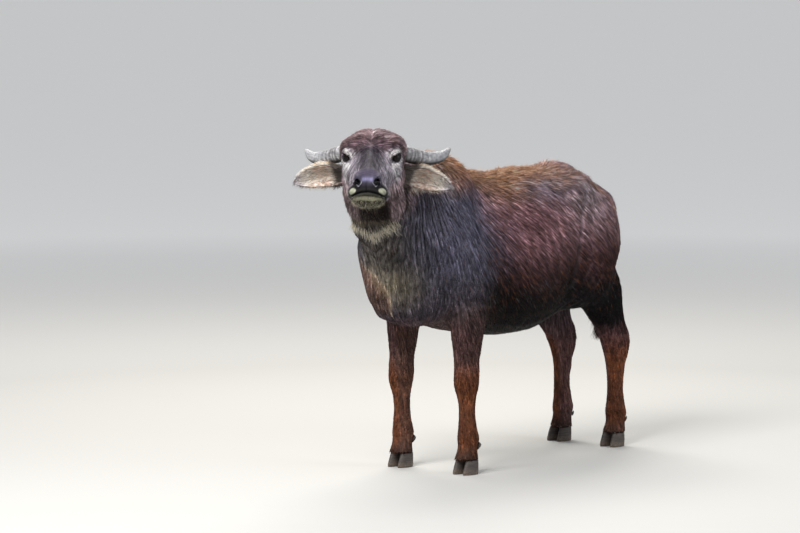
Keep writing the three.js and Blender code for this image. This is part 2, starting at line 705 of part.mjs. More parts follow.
// Long pale hair inside the cup: way along and place between the edges, of each lock's root and tip
const EAR_LOCKS = [
  [0.16, 0.5, 0.42, 0.84], [0.26, 0.3, 0.53, 0.55], [0.38, 0.66, 0.63, 0.72], [0.5, 0.3, 0.74, 0.32],
  [0.17, -0.1, 0.44, 0.04], [0.3, -0.34, 0.56, -0.4], [0.46, -0.12, 0.7, -0.14],
];
// The fringe that lies over the lower edge, near the root
const FRINGE_STARTS = [0.16, 0.26, 0.36, 0.46];

function earLocks(side) {
  const path = earPath(side);
  const inside = EAR_LOCKS.map(([t, s, tipT, tipS]) => {
    const root = earPlace(path, side, t, s);
    const tip = earPlace(path, side, tipT, tipS);
    const from = root.point.addScaledVector(root.back, -root.wall * 0.5);
    const to = tip.point.addScaledVector(tip.back, -tip.wall - 9);
    const bend = root.back.clone().multiplyScalar(7);
    return lockGeometry(from, to, bend, root.back, { width: 13, thickness: 3.4 });
  });
  const fringe = FRINGE_STARTS.map((t) => {
    const root = earPlace(path, side, t, -0.8);
    const tip = earPlace(path, side, t + 0.24, -1);
    const from = root.point.addScaledVector(root.back, -root.wall * 0.3);
    const to = tip.point.addScaledVector(tip.back, -6).addScaledVector(tip.up, -8);
    const bend = root.up.clone().multiplyScalar(5);
    return lockGeometry(from, to, bend, root.back, { width: 14, thickness: 3.4 });
  });
  return [...inside, ...fringe].map(solidOf);
}

for (const side of [-1, 1]) {
  const name = side > 0 ? 'ear_left' : 'ear_right';
  const haired = earLocks(side).reduce((ear, lock) => ear.add(lock), solidOf(earGeometry(side)));
  const ear = haired.subtract(headGrown).subtract(neckInHead()).subtract(solidOf(hornGeometry(side, GAP)));
  addNode(headGroup, name, ear, materials.earSkin);
}

// Tail: a dock that hangs from the tail head, and a switch of long locks at its end
const TAIL_PATH = new THREE.CatmullRomCurve3([
  new THREE.Vector3(0, 540, 962),
  new THREE.Vector3(0, 612, 962),
  new THREE.Vector3(0, 650, 925),
  new THREE.Vector3(0, 668, 860),
  new THREE.Vector3(0, 676, 760),
  new THREE.Vector3(0, 672, 620),
  new THREE.Vector3(0, 668, 560),
]);

function tubeGeometry(path, steps, sides, radiusAt) {
  const sections = Array.from({ length: steps + 1 }, (_, i) => {
    const t = i / steps;
    const centre = path.getPointAt(t);
    const along = path.getTangentAt(t);
    const side = new THREE.Vector3(1, 0, 0);
    const up = new THREE.Vector3().crossVectors(along, side).normalize();
    const radius = radiusAt(t);
    return Array.from({ length: sides }, (_, j) => {
      const angle = (2 * Math.PI * j) / sides;
      return centre.clone()
        .addScaledVector(side, Math.cos(angle) * radius)
        .addScaledVector(up, Math.sin(angle) * radius);
    });
  });
  return closedLoft(sections);
}

const dockRadius = (t) => THREE.MathUtils.lerp(27, 12, t);
const dock = solidOf(tubeGeometry(TAIL_PATH, 18, 10, dockRadius)).subtract(torsoGrown);
addNode(buffalo, 'tail', dock, materials.coat);

// A short core, and three tiers of locks round it
const SWITCH_CORE = new THREE.CatmullRomCurve3([
  new THREE.Vector3(0, 668, SWITCH_TOP),
  new THREE.Vector3(0, 666, 520),
  new THREE.Vector3(0, 665, 476),
]);
const SWITCH_TIERS = [
  { from: 0.12, length: 120, count: 5, turn: 0 },
  { from: 0.5, length: 124, count: 6, turn: 0.5 },
  { from: 0.88, length: 100, count: 5, turn: 0.2 },
];

function switchLocks() {
  return SWITCH_TIERS.flatMap(({ from, length, count, turn }) => Array.from({ length: count }, (_, i) => {
    const angle = (2 * Math.PI * (i + turn)) / count;
    const out = new THREE.Vector3(Math.cos(angle), Math.sin(angle), 0);
    const root = SWITCH_CORE.getPointAt(from).addScaledVector(out, 7 - 3 * from);
    const reach = Math.min(length + 7 * (i % 3), root.z - SWITCH_TIP);
    const tip = root.clone().addScaledVector(out, 0.12 * length).setZ(root.z - reach);
    const bend = out.clone().multiplyScalar(-0.17 * length);
    return solidOf(lockGeometry(root, tip, bend, out, { width: 15, thickness: 5 }));
  }));
}

const switchCore = solidOf(tubeGeometry(SWITCH_CORE, 3, 8, (t) => THREE.MathUtils.lerp(12, 6, t)));
const tailSwitch = switchLocks().reduce((hair, lock) => hair.add(lock), switchCore);
addNode(buffalo, 'tail_switch', tailSwitch, materials.switchHair);

// The part's own origin: below the middle of the animal's outer box, on the ground
buffalo.updateMatrixWorld(true);
const outerBox = new THREE.Box3().setFromObject(buffalo, true);
const middle = outerBox.getCenter(new THREE.Vector3());
buffalo.position.set(-middle.x, -middle.y, -outerBox.min.z);

export default buffalo;
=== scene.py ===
"""Young water buffalo, life size, dressed over its fixed frame: skin, coat, head, horns and hooves."""

import json
import math

import bmesh
import bpy
import numpy as np
from bpy.props import FloatProperty, FloatVectorProperty, IntProperty, PointerProperty
from bpy.types import Operator, Panel, PropertyGroup
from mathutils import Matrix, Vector
from mathutils.kdtree import KDTree

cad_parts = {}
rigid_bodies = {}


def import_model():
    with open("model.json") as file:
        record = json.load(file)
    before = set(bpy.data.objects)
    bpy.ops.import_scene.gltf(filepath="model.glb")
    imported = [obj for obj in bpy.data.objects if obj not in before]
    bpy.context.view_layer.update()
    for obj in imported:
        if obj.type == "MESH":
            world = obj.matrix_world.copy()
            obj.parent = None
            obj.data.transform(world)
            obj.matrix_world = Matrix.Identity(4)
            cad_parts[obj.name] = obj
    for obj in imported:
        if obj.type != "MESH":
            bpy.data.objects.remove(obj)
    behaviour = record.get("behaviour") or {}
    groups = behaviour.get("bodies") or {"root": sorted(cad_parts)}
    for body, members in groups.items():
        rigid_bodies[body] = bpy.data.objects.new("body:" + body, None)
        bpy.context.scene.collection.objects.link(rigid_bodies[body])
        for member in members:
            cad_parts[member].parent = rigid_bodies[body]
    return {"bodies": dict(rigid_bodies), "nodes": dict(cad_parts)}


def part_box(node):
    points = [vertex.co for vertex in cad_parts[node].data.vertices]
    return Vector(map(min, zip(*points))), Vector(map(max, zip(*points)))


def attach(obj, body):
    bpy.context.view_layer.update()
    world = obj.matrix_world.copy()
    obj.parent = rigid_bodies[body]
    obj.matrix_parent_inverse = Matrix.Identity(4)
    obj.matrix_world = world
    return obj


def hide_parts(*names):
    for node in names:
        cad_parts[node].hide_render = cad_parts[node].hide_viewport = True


bl_info = {
    "name": "Water Buffalo",
    "version": (1, 0, 0),
    "blender": (4, 5, 0),
    "location": "View3D > Sidebar > Buffalo",
    "description": "Dresses the frame of a young water buffalo with skin, coat, horns and hooves",
    "category": "Object",
}

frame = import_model()
NODES = frame["nodes"]
BODY = next(iter(frame["bodies"]))
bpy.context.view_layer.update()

# The middle of the barrel on the ground, from the boxes of the outer fore hooves
FORE_HOOF_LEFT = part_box("hoof_fore_left_outer")
FORE_HOOF_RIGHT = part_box("hoof_fore_right_outer")
HOOF_AHEAD_OF_BARREL = 0.34524
ORIGIN = np.array((
    (FORE_HOOF_LEFT[1].x + FORE_HOOF_RIGHT[0].x) / 2,
    (FORE_HOOF_LEFT[0].y + FORE_HOOF_LEFT[1].y) / 2 + HOOF_AHEAD_OF_BARREL,
    0.0,
))

# The head's own axes: to its left, ahead of the eyes and above them
HEAD_TURN = math.radians(34.9)
HEAD_DROOP = math.radians(15.0)
SIN_TURN, COS_TURN = math.sin(HEAD_TURN), math.cos(HEAD_TURN)
SIN_DROOP, COS_DROOP = math.sin(HEAD_DROOP), math.cos(HEAD_DROOP)
HEAD_AXES = np.array((
    (COS_TURN, SIN_TURN, 0.0),
    (SIN_TURN * COS_DROOP, -COS_TURN * COS_DROOP, -SIN_DROOP),
    (SIN_TURN * SIN_DROOP, -COS_TURN * SIN_DROOP, COS_DROOP),
))

# Left is 1 and right is -1; the eyes stand a little further aside than in the frame
SIDES = (1, -1)
EYE_ASIDE, EYE_AHEAD, EYE_UP = 0.0045, 0.00638, 0.0064
EYE_CENTRES = {
    side: np.mean([list(corner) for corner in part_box(name)], axis=0) + side * EYE_ASIDE * HEAD_AXES[0]
    for side, name in zip(SIDES, ("eye_left", "eye_right"))
}
HEAD_ORIGIN = (EYE_CENTRES[1] + EYE_CENTRES[-1]) / 2 - EYE_AHEAD * HEAD_AXES[1] - EYE_UP * HEAD_AXES[2]
MUZZLE_ASIDE = 0.0045

# The plane where the finer skin of the head meets that of the body, and how far from it each half ends
NECK_CUT = ORIGIN + np.array((0.035, -0.65, 1.058))
NECK_AXIS = np.array((0.158, -0.84, 0.515)) / np.linalg.norm((0.158, -0.84, 0.515))
NECK_GAP = 0.004

# The nodes that the skin takes the place of
FLESH_STARTS = ("head", "neck", "torso", "tail", "foreleg", "hindleg", "ear_")
FLESH = [name for name in NODES if name.startswith(FLESH_STARTS) and name != "tail_switch"]

# The two halves of the skin: their nodes, how far those swell, size of the squares and rounds of smoothing
SKIN_HALVES = (
    (("head", "neck", "eye_left", "eye_right"), 0.0026, 0.0042, 3),
    (("torso", "neck", "tail", "foreleg_left", "foreleg_right", "hindleg_left", "hindleg_right"),
     0.0022, 0.0106, 7),
)

# How far aside and how far along the body the feet stand, the way down, and the share of the coat's tufts
# that the others lean to and how far
FORE_FOOT, HIND_FOOT = (0.15, -0.335), (0.124, 0.58)
DOWN = np.array((0, 0, -1.0))
HAIR_IN_LOCKS = (0.06, 0.22)

# Ears: how far aside their tips stand, how low, how far back, and the share of height and the depth
# of the cup along them
EAR_SPREAD = {1: 0.271, -1: 0.29}
EAR_DROOP = {1: 0.01, -1: -0.005}
EAR_SWEEP = 0.134
EAR_HALF_HEIGHT = 0.0385
EAR_SHAPE = np.array((
    (0, 0.56, 0.02), (0.15, 0.66, 0.026), (0.35, 0.98, 0.03), (0.55, 1, 0.024),
    (0.75, 0.8, 0.014), (0.9, 0.44, 0.006), (1, 0.08, 0.001),
))

# Eyes and lids: the ball's radius, how far the skin lies over it and sinks under it, half the opening's
# width, its height and bluntness above and below, and the section of the rim
EYE_RADIUS = 0.02
SKIN_OVER_BALL, SKIN_UNDER_BALL = 0.0012, 0.0045
LID_HALF_WIDTH = 0.0184
LID_HEIGHTS = (0.011, 0.013)
LID_POWERS = (1.05, 1.4)
LID_SECTION = (
    (0.0, 0.0002), (0.0004, 0.0016), (0.0016, 0.0027), (0.0036, 0.003),
    (0.0062, 0.0026), (0.0092, 0.0012), (0.0092, -0.003), (0.001, -0.003),
)

# Lines: height of the mouth for each place ahead of the eyes, how far aside the jowl's edge is at a height,
# how far back the groove before the thigh is at a height, height of the edge from the hip bone to the pin
# bone for each place along the body, and how far aside the pale line of the chest is at a height
MOUTH_LINE = np.array(((0.172, -0.09), (0.206, -0.072), (0.236, -0.05), (0.262, -0.034), (0.29, -0.028)))
JOWL = np.array((
    (-0.275, 0.06), (-0.251, 0.082), (-0.232, 0.097), (-0.201, 0.106), (-0.174, 0.11), (-0.138, 0.103),
))
GROOVE = np.array((
    (0.58, 0.205), (0.65, 0.235), (0.724, 0.262), (0.832, 0.289), (0.921, 0.318), (0.99, 0.335),
))
RIDGE = np.array(((0.33, 1.028), (0.41, 1.0), (0.485, 0.964), (0.532, 0.906)))
CHEST_LINE = np.array((
    (0.575, -0.005), (0.636, 0.01), (0.678, -0.001), (0.719, -0.042),
    (0.743, -0.093), (0.768, -0.137), (0.813, -0.15),
))

# Horns: how far aside, down and back their tips stand
HORN_SPREAD = {1: 0.258, -1: 0.254}
HORN_DROP = {1: 0.0, -1: 0.009}
HORN_SWEEP = 0.232
HORN_ROOT_RADIUS = 0.026
HORN_RING_HEIGHT = 0.001
HORN_RINGS = 13.0

# Claws: half their width and length, how far apart their growth lines are, how far the middle lies behind
# the toe, and the height, length, width and shift of each layer
CLAW_HALF_WIDTH, CLAW_HALF_LENGTH, CLAW_LINES, CLAW_MIDDLE = 0.021, 0.042, 0.0052, 0.0424
CLAW_LAYERS = np.array((
    (0.0, 0.985, 0.93, 0.0), (0.003, 1.0, 0.975, 0.0), (0.008, 1.0, 1.0, 0.0002),
    (0.026, 0.9, 0.98, 0.0035), (0.044, 0.78, 0.925, 0.007), (0.0505, 0.735, 0.89, 0.008),
))

# The most hairs in one piece of coat, tufts on a square metre of an ear's back, how dark the hide is
# beside its hair, and half the size of a tuft's patch in the unwrap
TUFTS_IN_A_PIECE = 19900
NEEDLES_IN_A_PIECE = 49900
EAR_TUFTS = 150000
HIDE_SHADE = 0.72
UNWRAP_PATCH = 0.0015

# Stage: reach of the floor, what the camera turns round, how far its aim is off that, and its lens
FLOOR_REACH = 50.0
CAMERA_TARGET = Vector(ORIGIN) + Vector((0.0, 0.0, 0.6))
CAMERA_ASIDE, CAMERA_ABOVE = -0.3348, 0.1074
LENS = 197.82


def look_up(table, value, column=1):
    """A column of a table read off at values of its first column."""
    return np.interp(value, table[:, 0], table[:, column])


def ramp(low, high, value):
    """Rises from 0 at low to 1 at high."""
    t = np.clip((value - low) / (high - low), 0.0, 1.0)
    return t * t * (3 - 2 * t)


def bell(value, centre, reach):
    """One at the centre, and fading out over the reach."""
    return np.exp(-(((value - centre) / reach) ** 2))


def unit(vectors):
    """Vectors of length one."""
    return vectors / np.maximum(np.linalg.norm(vectors, axis=-1, keepdims=True), 1e-9)


def cloud(points, size, seed):
    """Soft noise from -1 to 1 that changes over the given size."""
    scaled = points / size + 1000.0
    cell = np.floor(scaled).astype(np.int64)
    part = scaled - cell
    part = part * part * (3 - 2 * part)
    total = np.zeros(len(points))
    for dx in (0, 1):
        for dy in (0, 1):
            for dz in (0, 1):
                x, y, z = cell[:, 0] + dx, cell[:, 1] + dy, cell[:, 2] + dz
                mixed = (x * 73856093) ^ (y * 19349663) ^ (z * 83492791) ^ (seed * 2654435)
                mixed = (mixed ^ (mixed >> 13)) * 1274126177 & 0x7FFFFFFF
                value = (mixed % 100003) / 50001.5 - 1
                total += value * np.prod(np.abs(1 - np.array((dx, dy, dz)) - part), axis=1)
    return total


def upright(*columns):
    """Columns of numbers side by side, those that are one number all the way down too."""
    return np.stack(np.broadcast_arrays(*columns), axis=1)


def across_normals(ways, normals, share=1):
    """Ways without the share of them that runs along the normals."""
    return ways - normals * np.sum(ways * normals, axis=1, keepdims=True) * share


def nearest_on(line, points):
    """How far each point is from a line of places, and the number of the nearest one."""
    gaps = np.linalg.norm(points[:, None, :] - line[None], axis=2)
    return gaps.min(axis=1), np.argmin(gaps, axis=1)


def to_body(places):
    """Across, along and height of places, from the middle of the barrel."""
    return (places - ORIGIN).T


def to_head(points):
    """Points of the part in the head's own axes."""
    return (points - HEAD_ORIGIN) @ HEAD_AXES.T


def from_head(points):
    """Points of the head's own axes in the part."""
    return np.asarray(points) @ HEAD_AXES + HEAD_ORIGIN


def to_face(points):
    """The head's axes, with the muzzle's own middle as zero: it points a little to the left."""
    side, front, up = to_head(points).T
    return side - MUZZLE_ASIDE * ramp(0.1, 0.22, front), front, up


def behind_neck(places):
    """How far places lie behind the plane across the neck."""
    return -((places - NECK_CUT) @ NECK_AXIS)


def edited(meshes, change=None):
    """The given meshes as a new one, changed as a bmesh."""
    shell = bmesh.new()
    for mesh in meshes:
        shell.from_mesh(mesh)
    if change:
        change(shell)
    result = bpy.data.meshes.new(meshes[0].name)
    shell.to_mesh(result)
    shell.free()
    return result


def outwards(mesh):
    """A closed mesh with its faces turned outwards."""
    def turn(shell):
        bmesh.ops.recalc_face_normals(shell, faces=shell.faces[:])
        if shell.calc_volume(signed=True) < 0:
            bmesh.ops.reverse_faces(shell, faces=shell.faces[:])
    result = edited([mesh], turn)
    result.shade_smooth()
    return result


def merged_copy(names, swell):
    """One mesh of the named nodes, pushed outwards so that the gaps between them close."""
    def push(shell):
        bmesh.ops.remove_doubles(shell, verts=shell.verts[:], dist=1e-5)
        shell.normal_update()
        for vert in shell.verts:
            vert.co += vert.normal * swell
    return edited([NODES[name].data for name in names], push)


def socket_id(group, name):
    """The identifier of a node tree's input."""
    return next(item.identifier for item in group.interface.items_tree
                if item.item_type == "SOCKET" and item.in_out == "INPUT" and item.name == name)


def through_modifiers(mesh, *steps):
    """The mesh after modifiers, each a type and its settings; a tree's inputs go by their identifiers."""
    holder = bpy.data.objects.new("holder", mesh)
    bpy.context.scene.collection.objects.link(holder)
    for kind, values in steps:
        modifier = holder.modifiers.new(kind.lower(), kind)
        for key, value in values.items():
            if hasattr(modifier, key):
                setattr(modifier, key, value)
            else:
                modifier[socket_id(modifier.node_group, key)] = value
    graph = bpy.context.evaluated_depsgraph_get()
    result = bpy.data.meshes.new_from_object(holder.evaluated_get(graph))
    holder.modifiers.clear()
    bpy.data.objects.remove(holder)
    return result


def remeshed(names, swell, voxel):
    """The named nodes as one even skin of small squares."""
    settings = {"mode": "VOXEL", "voxel_size": voxel, "adaptivity": 0.0}
    return through_modifiers(merged_copy(names, swell), ("REMESH", settings))


def read(items, key, width, kind=float):
    """One property of all of a mesh's points, edges or triangles, as rows of numbers."""
    values = np.empty(len(items) * width, dtype=kind)
    items.foreach_get(key, values)
    return values.reshape(-1, width)


def places_of(mesh):
    """The mesh's points."""
    return read(mesh.vertices, "co", 3)


def normals_of(mesh):
    """The mesh's normals at its points."""
    mesh.update()
    return read(mesh.vertices, "normal", 3)


def move_to(mesh, places):
    """Puts the mesh's points at the given places."""
    mesh.vertices.foreach_set("co", np.ascontiguousarray(places).ravel())
    mesh.update()


def relaxed(mesh, rounds, strength):
    """The mesh's points after smoothing along its edges; strength may differ from point to point."""
    places, ends = places_of(mesh), read(mesh.edges, "vertices", 2, np.int64)
    count = len(places)
    first, second = np.concatenate((ends, ends[:, ::-1])).T
    degree = np.maximum(np.bincount(first, minlength=count), 1)[:, None]
    strength = np.broadcast_to(np.asarray(strength, dtype=float), (count,))[:, None]
    for step in (0.5, -0.52) * rounds:
        mean = [np.bincount(first, weights=places[second, k], minlength=count) for k in range(3)]
        places = places + step * strength * (np.stack(mean, axis=1) / degree - places)
    return places


def mesh_from(name, places, faces):
    """A mesh from an array of places and arrays of faces with the same number of sides."""
    mesh = bpy.data.meshes.new(name)
    faces = [np.asarray(group, dtype=np.int32) for group in faces if len(group)]
    corners = np.concatenate([group.ravel() for group in faces])
    sizes = np.concatenate([np.full(len(group), group.shape[1], dtype=np.int32) for group in faces])
    starts = np.concatenate(([0], np.cumsum(sizes)[:-1])).astype(np.int32)
    mesh.vertices.add(len(places))
    mesh.vertices.foreach_set("co", np.ascontiguousarray(places, dtype=np.float32).ravel())
    mesh.loops.add(len(corners))
    mesh.loops.foreach_set("vertex_index", corners)
    mesh.polygons.add(len(sizes))
    mesh.polygons.foreach_set("loop_start", starts)
    mesh.polygons.foreach_set("loop_total", sizes)
    mesh.update(calc_edges=True)
    mesh.shade_smooth()
    return mesh


def cut_at_neck(mesh, front):
    """Keeps what lies before or behind the plane across the neck."""
    place = NECK_CUT + NECK_AXIS * (NECK_GAP if front else -NECK_GAP)
    return edited([mesh], lambda shell: bmesh.ops.bisect_plane(
        shell, geom=shell.verts[:] + shell.edges[:] + shell.faces[:], plane_co=Vector(place),
        plane_no=Vector(NECK_AXIS), clear_inner=front, clear_outer=not front,
    ))


def bridged(front, rear):
    """Both halves of the skin, joined round the neck."""
    def join(shell):
        bmesh.ops.bridge_loops(shell, edges=[edge for edge in shell.edges if edge.is_boundary])
        bmesh.ops.recalc_face_normals(shell, faces=shell.faces[:])
    return edited([front, rear], join)


def finer_where(mesh, wanted):
    """Splits the faces whose points are all wanted into four."""
    def split(shell):
        edges = [edge for edge in shell.edges if all(wanted[vert.index] for vert in edge.verts)]
        bmesh.ops.subdivide_edges(shell, edges=edges, cuts=1, use_grid_fill=True)
        bmesh.ops.triangulate(shell, faces=[face for face in shell.faces if len(face.verts) > 4])
    return edited([mesh], split)


def walls_between(index, onward):
    """Faces between rows of point numbers and the rows after them, closed round each row."""
    corners = (index, np.roll(index, -1, axis=1), np.roll(onward, -1, axis=1), onward)
    return np.stack(corners, axis=-1).reshape(-1, 4)


def spline(points):
    """A smooth curve through points, as a function of a share from 0 to 1 of its length."""
    points = np.asarray(points, dtype=float)
    padded = np.vstack((2 * points[0] - points[1], points, 2 * points[-1] - points[-2]))
    fine = []
    for i in range(1, len(padded) - 2):
        p0, p1, p2, p3 = padded[i - 1:i + 3]
        t = np.linspace(0, 1, 40, endpoint=False)[:, None]
        fine.append(0.5 * (2 * p1 + (p2 - p0) * t + (2 * p0 - 5 * p1 + 4 * p2 - p3) * t ** 2
                           + (3 * p1 - p0 - 3 * p2 + p3) * t ** 3))
    fine = np.vstack(fine + [points[-1:]])
    reach = np.concatenate(([0], np.cumsum(np.linalg.norm(np.diff(fine, axis=0), axis=1))))

    def at(share):
        wanted = np.asarray(share) * reach[-1]
        return np.stack([np.interp(wanted, reach, fine[:, k]) for k in range(points.shape[1])], axis=-1)
    return at


def tangent_of(curve, share):
    """The way a curve runs at a share of its length."""
    return unit(curve(np.clip(share + 0.01, 0, 1)) - curve(np.clip(share - 0.01, 0, 1)))


def loft_mesh(name, rings):
    """A closed form through rings of equally many points."""
    count, sides = rings.shape[:2]
    places = np.vstack((rings.reshape(-1, 3), rings[0].mean(0), rings[-1].mean(0)))
    index = np.arange(count * sides).reshape(count, sides)
    turned = np.roll(index, -1, axis=1)
    low = upright(turned[0], index[0], count * sides)
    high = upright(index[-1], turned[-1], count * sides + 1)
    return outwards(mesh_from(name, places, [walls_between(index[:-1], index[1:]), np.vstack((low, high))]))


def ear_path(side):
    """The line that runs along the middle of an ear, in the head's axes."""
    spread, droop = EAR_SPREAD[side], EAR_DROOP[side]
    return spline([
        (side * 0.074, -0.046, -0.076), (side * 0.112, -0.066, -0.088),
        (side * (spread - 0.112), -0.104, -0.104 - droop * 0.4),
        (side * (spread - 0.059), 0.016 - EAR_SWEEP, -0.122 - droop * 0.7),
        (side * spread, -EAR_SWEEP, -0.144 - droop),
    ])


def ear_place(side, t, s):
    """Points of an ear's cup: t from root to tip, s from its lower to its upper edge, with its axes."""
    path = ear_path(side)
    t, s = np.broadcast_arrays(np.asarray(t, float), np.asarray(s, float))
    share, cup = look_up(EAR_SHAPE, t), look_up(EAR_SHAPE, t, 2)
    along = tangent_of(path, t)
    back = np.zeros_like(along)
    back[..., 1] = -1
    back = unit(back - along * np.sum(back * along, axis=-1, keepdims=True))
    up = unit(np.cross(along, back)) * side
    middle = path(t)
    place = middle + up * (s * share * EAR_HALF_HEIGHT)[..., None] + back * (cup * (1 - s * s))[..., None]
    return place, along, back, up


def ear_mesh(side):
    """One ear: a thin cup with rolled edges, closed at its root and tip."""
    steps, arc = 46, 25
    t = np.linspace(0, 0.985, steps)[:, None]
    s = np.linspace(-1, 1, arc)[None, :]
    t, s = np.broadcast_arrays(t, s)
    wall = np.interp(t, (0, 0.45), (0.0045, 0.0016))[..., None]
    outer, _, back, up = ear_place(side, t, s)
    roll = ramp(0.8, 1.0, np.abs(s))[..., None] * 0.0045 * np.sin(np.pi * np.clip(t, 0, 1))[..., None]
    wave = 0.0012 * np.sin(t * 31 + 2 * s)[..., None] * np.abs(s)[..., None]
    outer = outer - back * (roll - wave)
    fill = np.where(t < 0.15, look_up(EAR_SHAPE, t, 2) * (1 - t / 0.15) * (1 - s * s), 0)
    ridges = 0.0016 * np.cos(s * 9.4) * np.sin(np.pi * t) * (1 - s * s)
    inner = outer - back * (2 * wall + fill[..., None] + ridges[..., None])
    inner = inner - up * (np.sign(s) * ramp(0.85, 1, np.abs(s)))[..., None] * 0.0012
    rings = np.concatenate((outer, inner[:, ::-1]), axis=1)
    return loft_mesh("ear", from_head(rings))


def coat_depth(places):
    """How deep the skin lies under the tips of the coat."""
    _, y, z = to_body(places)
    ahead = -behind_neck(places)
    depth = 0.003 + 0.005 * ramp(0.42, 0.66, z)
    tail = ramp(0.62, 0.65, y) * ramp(0.98, 0.94, z)
    depth = depth * (1 - tail) + 0.003 * tail
    front = to_head(places)[:, 1]
    face = ramp(0.0, 0.07, ahead) * ramp(-0.17, -0.1, front)
    depth = depth * (1 - face) + 0.0026 * face
    muzzle = face * ramp(0.17, 0.215, front)
    return depth * (1 - muzzle) + 0.001 * muzzle


def near_ear(places):
    """How surely a point belongs to an ear that stands clear of the head."""
    head = to_head(places)
    found = np.zeros(len(places))
    for side in SIDES:
        gap, _ = nearest_on(ear_path(side)(np.linspace(0.12, 1, 30)), head)
        found = np.maximum(found, ramp(0.06, 0.045, gap) * ramp(0.105, 0.125, side * head[:, 0]))
    return found


def build_base_skin():
    """The smooth skin of head, neck, trunk, tail and legs before folds and lids."""
    halves = []
    for names, swell, voxel, rounds in SKIN_HALVES:
        mesh = remeshed(names, swell, voxel)
        places = relaxed(mesh, rounds, 1.0)
        move_to(mesh, places)
        move_to(mesh, places - normals_of(mesh) * (swell + coat_depth(places))[:, None])
        halves.append(cut_at_neck(mesh, not halves))
    skin = bridged(*halves)
    move_to(skin, relaxed(skin, 12, bell(behind_neck(places_of(skin)), 0, 0.03)))
    return skin


def eye_axes(side):
    """Across, up and gaze of an eye, in the part."""
    gaze = unit(np.array((side * 0.6, 0.8, 0.06)) @ HEAD_AXES)
    ahead = unit(np.array((side * -0.8, 0.6, -0.1)) @ HEAD_AXES)
    across = unit(ahead - gaze * (ahead @ gaze))
    up = np.cross(gaze, across) * -side
    up = up if up[2] > 0 else -up
    return across, up, gaze


def seen_from_eye(side, places):
    """Offsets of places from the middle of an eye, and how far they are across, up and along its gaze."""
    offset = places - EYE_CENTRES[side]
    return (offset, *(offset @ axis for axis in eye_axes(side)))


def lid_opening(angle):
    """Where the lids' edge runs: across and up from the middle of the eye."""
    across = LID_HALF_WIDTH * np.cos(angle)
    above = np.sin(angle) > 0
    height = np.where(above, *LID_HEIGHTS)
    power = np.where(above, *LID_POWERS)
    up = height * np.sign(np.sin(angle)) * np.abs(np.sin(angle)) ** power
    return across, up + 0.0015 - 0.1 * across


def on_lid_edge(side, angle):
    """Where the edge of the lids runs at angles round an eye: across, up, and the way from its middle."""
    across, up, gaze = eye_axes(side)
    a, b = lid_opening(angle)
    c = np.sqrt(np.maximum(EYE_RADIUS ** 2 - a * a - b * b, 1e-6))
    return a, b, unit(a[:, None] * across + b[:, None] * up + c[:, None] * gaze)


def opening_share(across, up, powers=(1, 1)):
    """Under 1 inside the lids' edge, and over 1 outside it."""
    level = up - 0.0015 + 0.1 * across
    height, power = np.where(level > 0, *LID_HEIGHTS), np.where(level > 0, *powers)
    return np.sqrt((across / LID_HALF_WIDTH) ** 2 + (np.abs(level) / height) ** (2 / power))


def fit_round_eyes(places):
    """Sinks the skin under the eyeball inside the lids, and lays it over the ball round them."""
    result = places.copy()
    for side in SIDES:
        offset, a, b, c = seen_from_eye(side, places)
        reach = np.linalg.norm(offset, axis=1)
        share = opening_share(a, b)
        over = ramp(0.038, 0.026, reach) * ramp(-0.004, 0.004, c)
        lid = EYE_RADIUS + 0.0022 + 0.0022 * bell(share, 1.9, 0.5)
        lid = lid + 0.0016 * ramp(0.0, 0.01, b) * bell(share, 1.7, 0.45)
        wanted = reach + (lid - reach) * ramp(2.4, 1.5, share) * over
        inside = ramp(1.12, 0.98, share) * (c > 0)
        wanted = wanted * (1 - inside) + (EYE_RADIUS - 0.0035) * inside
        near = reach < 0.045
        result[near] = EYE_CENTRES[side] + offset[near] * (wanted / np.maximum(reach, 1e-6))[near, None]
    return result


def lid_mesh(side):
    """The two lids as one soft rim round the eye, thicker above."""
    across, up, _ = eye_axes(side)
    angle = np.linspace(0, 2 * math.pi, 72, endpoint=False)
    a, b, edge = on_lid_edge(side, angle)
    out = unit(np.stack((a / LID_HALF_WIDTH ** 2, b / LID_HEIGHTS[0] ** 2), axis=1))
    away = unit(across_normals(out[:, :1] * across + out[:, 1:] * up, edge))
    above = ramp(-0.2, 0.8, np.sin(angle))[:, None]
    rings = []
    for step, height in LID_SECTION:
        lift = height + above * 0.0012 * bell(step, 0.003, 0.003)
        turn = step * (1 + 0.25 * above) / EYE_RADIUS
        rings.append(EYE_CENTRES[side] + (edge * np.cos(turn) + away * np.sin(turn)) * (EYE_RADIUS + lift))
    rings = np.stack(rings, axis=1)
    index = np.arange(rings.size // 3).reshape(rings.shape[:2])
    walls = walls_between(index, np.roll(index, -1, axis=0))
    return outwards(mesh_from("lids", rings.reshape(-1, 3), [walls]))


def lip_line(wide, front):
    """Height of the line between the lips, which droops to the sides."""
    droop = 0.016 * np.minimum(wide / 0.055, 1.15) ** 2 * ramp(0.19, 0.235, front)
    return look_up(MOUTH_LINE, front) + 0.003 - droop


def nostril_share(wide, up):
    """Under 1 inside a nostril, a drop with its point below, and over 1 outside it."""
    height = up - 0.001
    half = np.interp(height, (-0.0105, -0.003, 0.003, 0.0095), (0.004, 0.0086, 0.0104, 0.009))
    return np.hypot((wide - 0.0318 - 0.14 * height) / half, height / 0.0102)


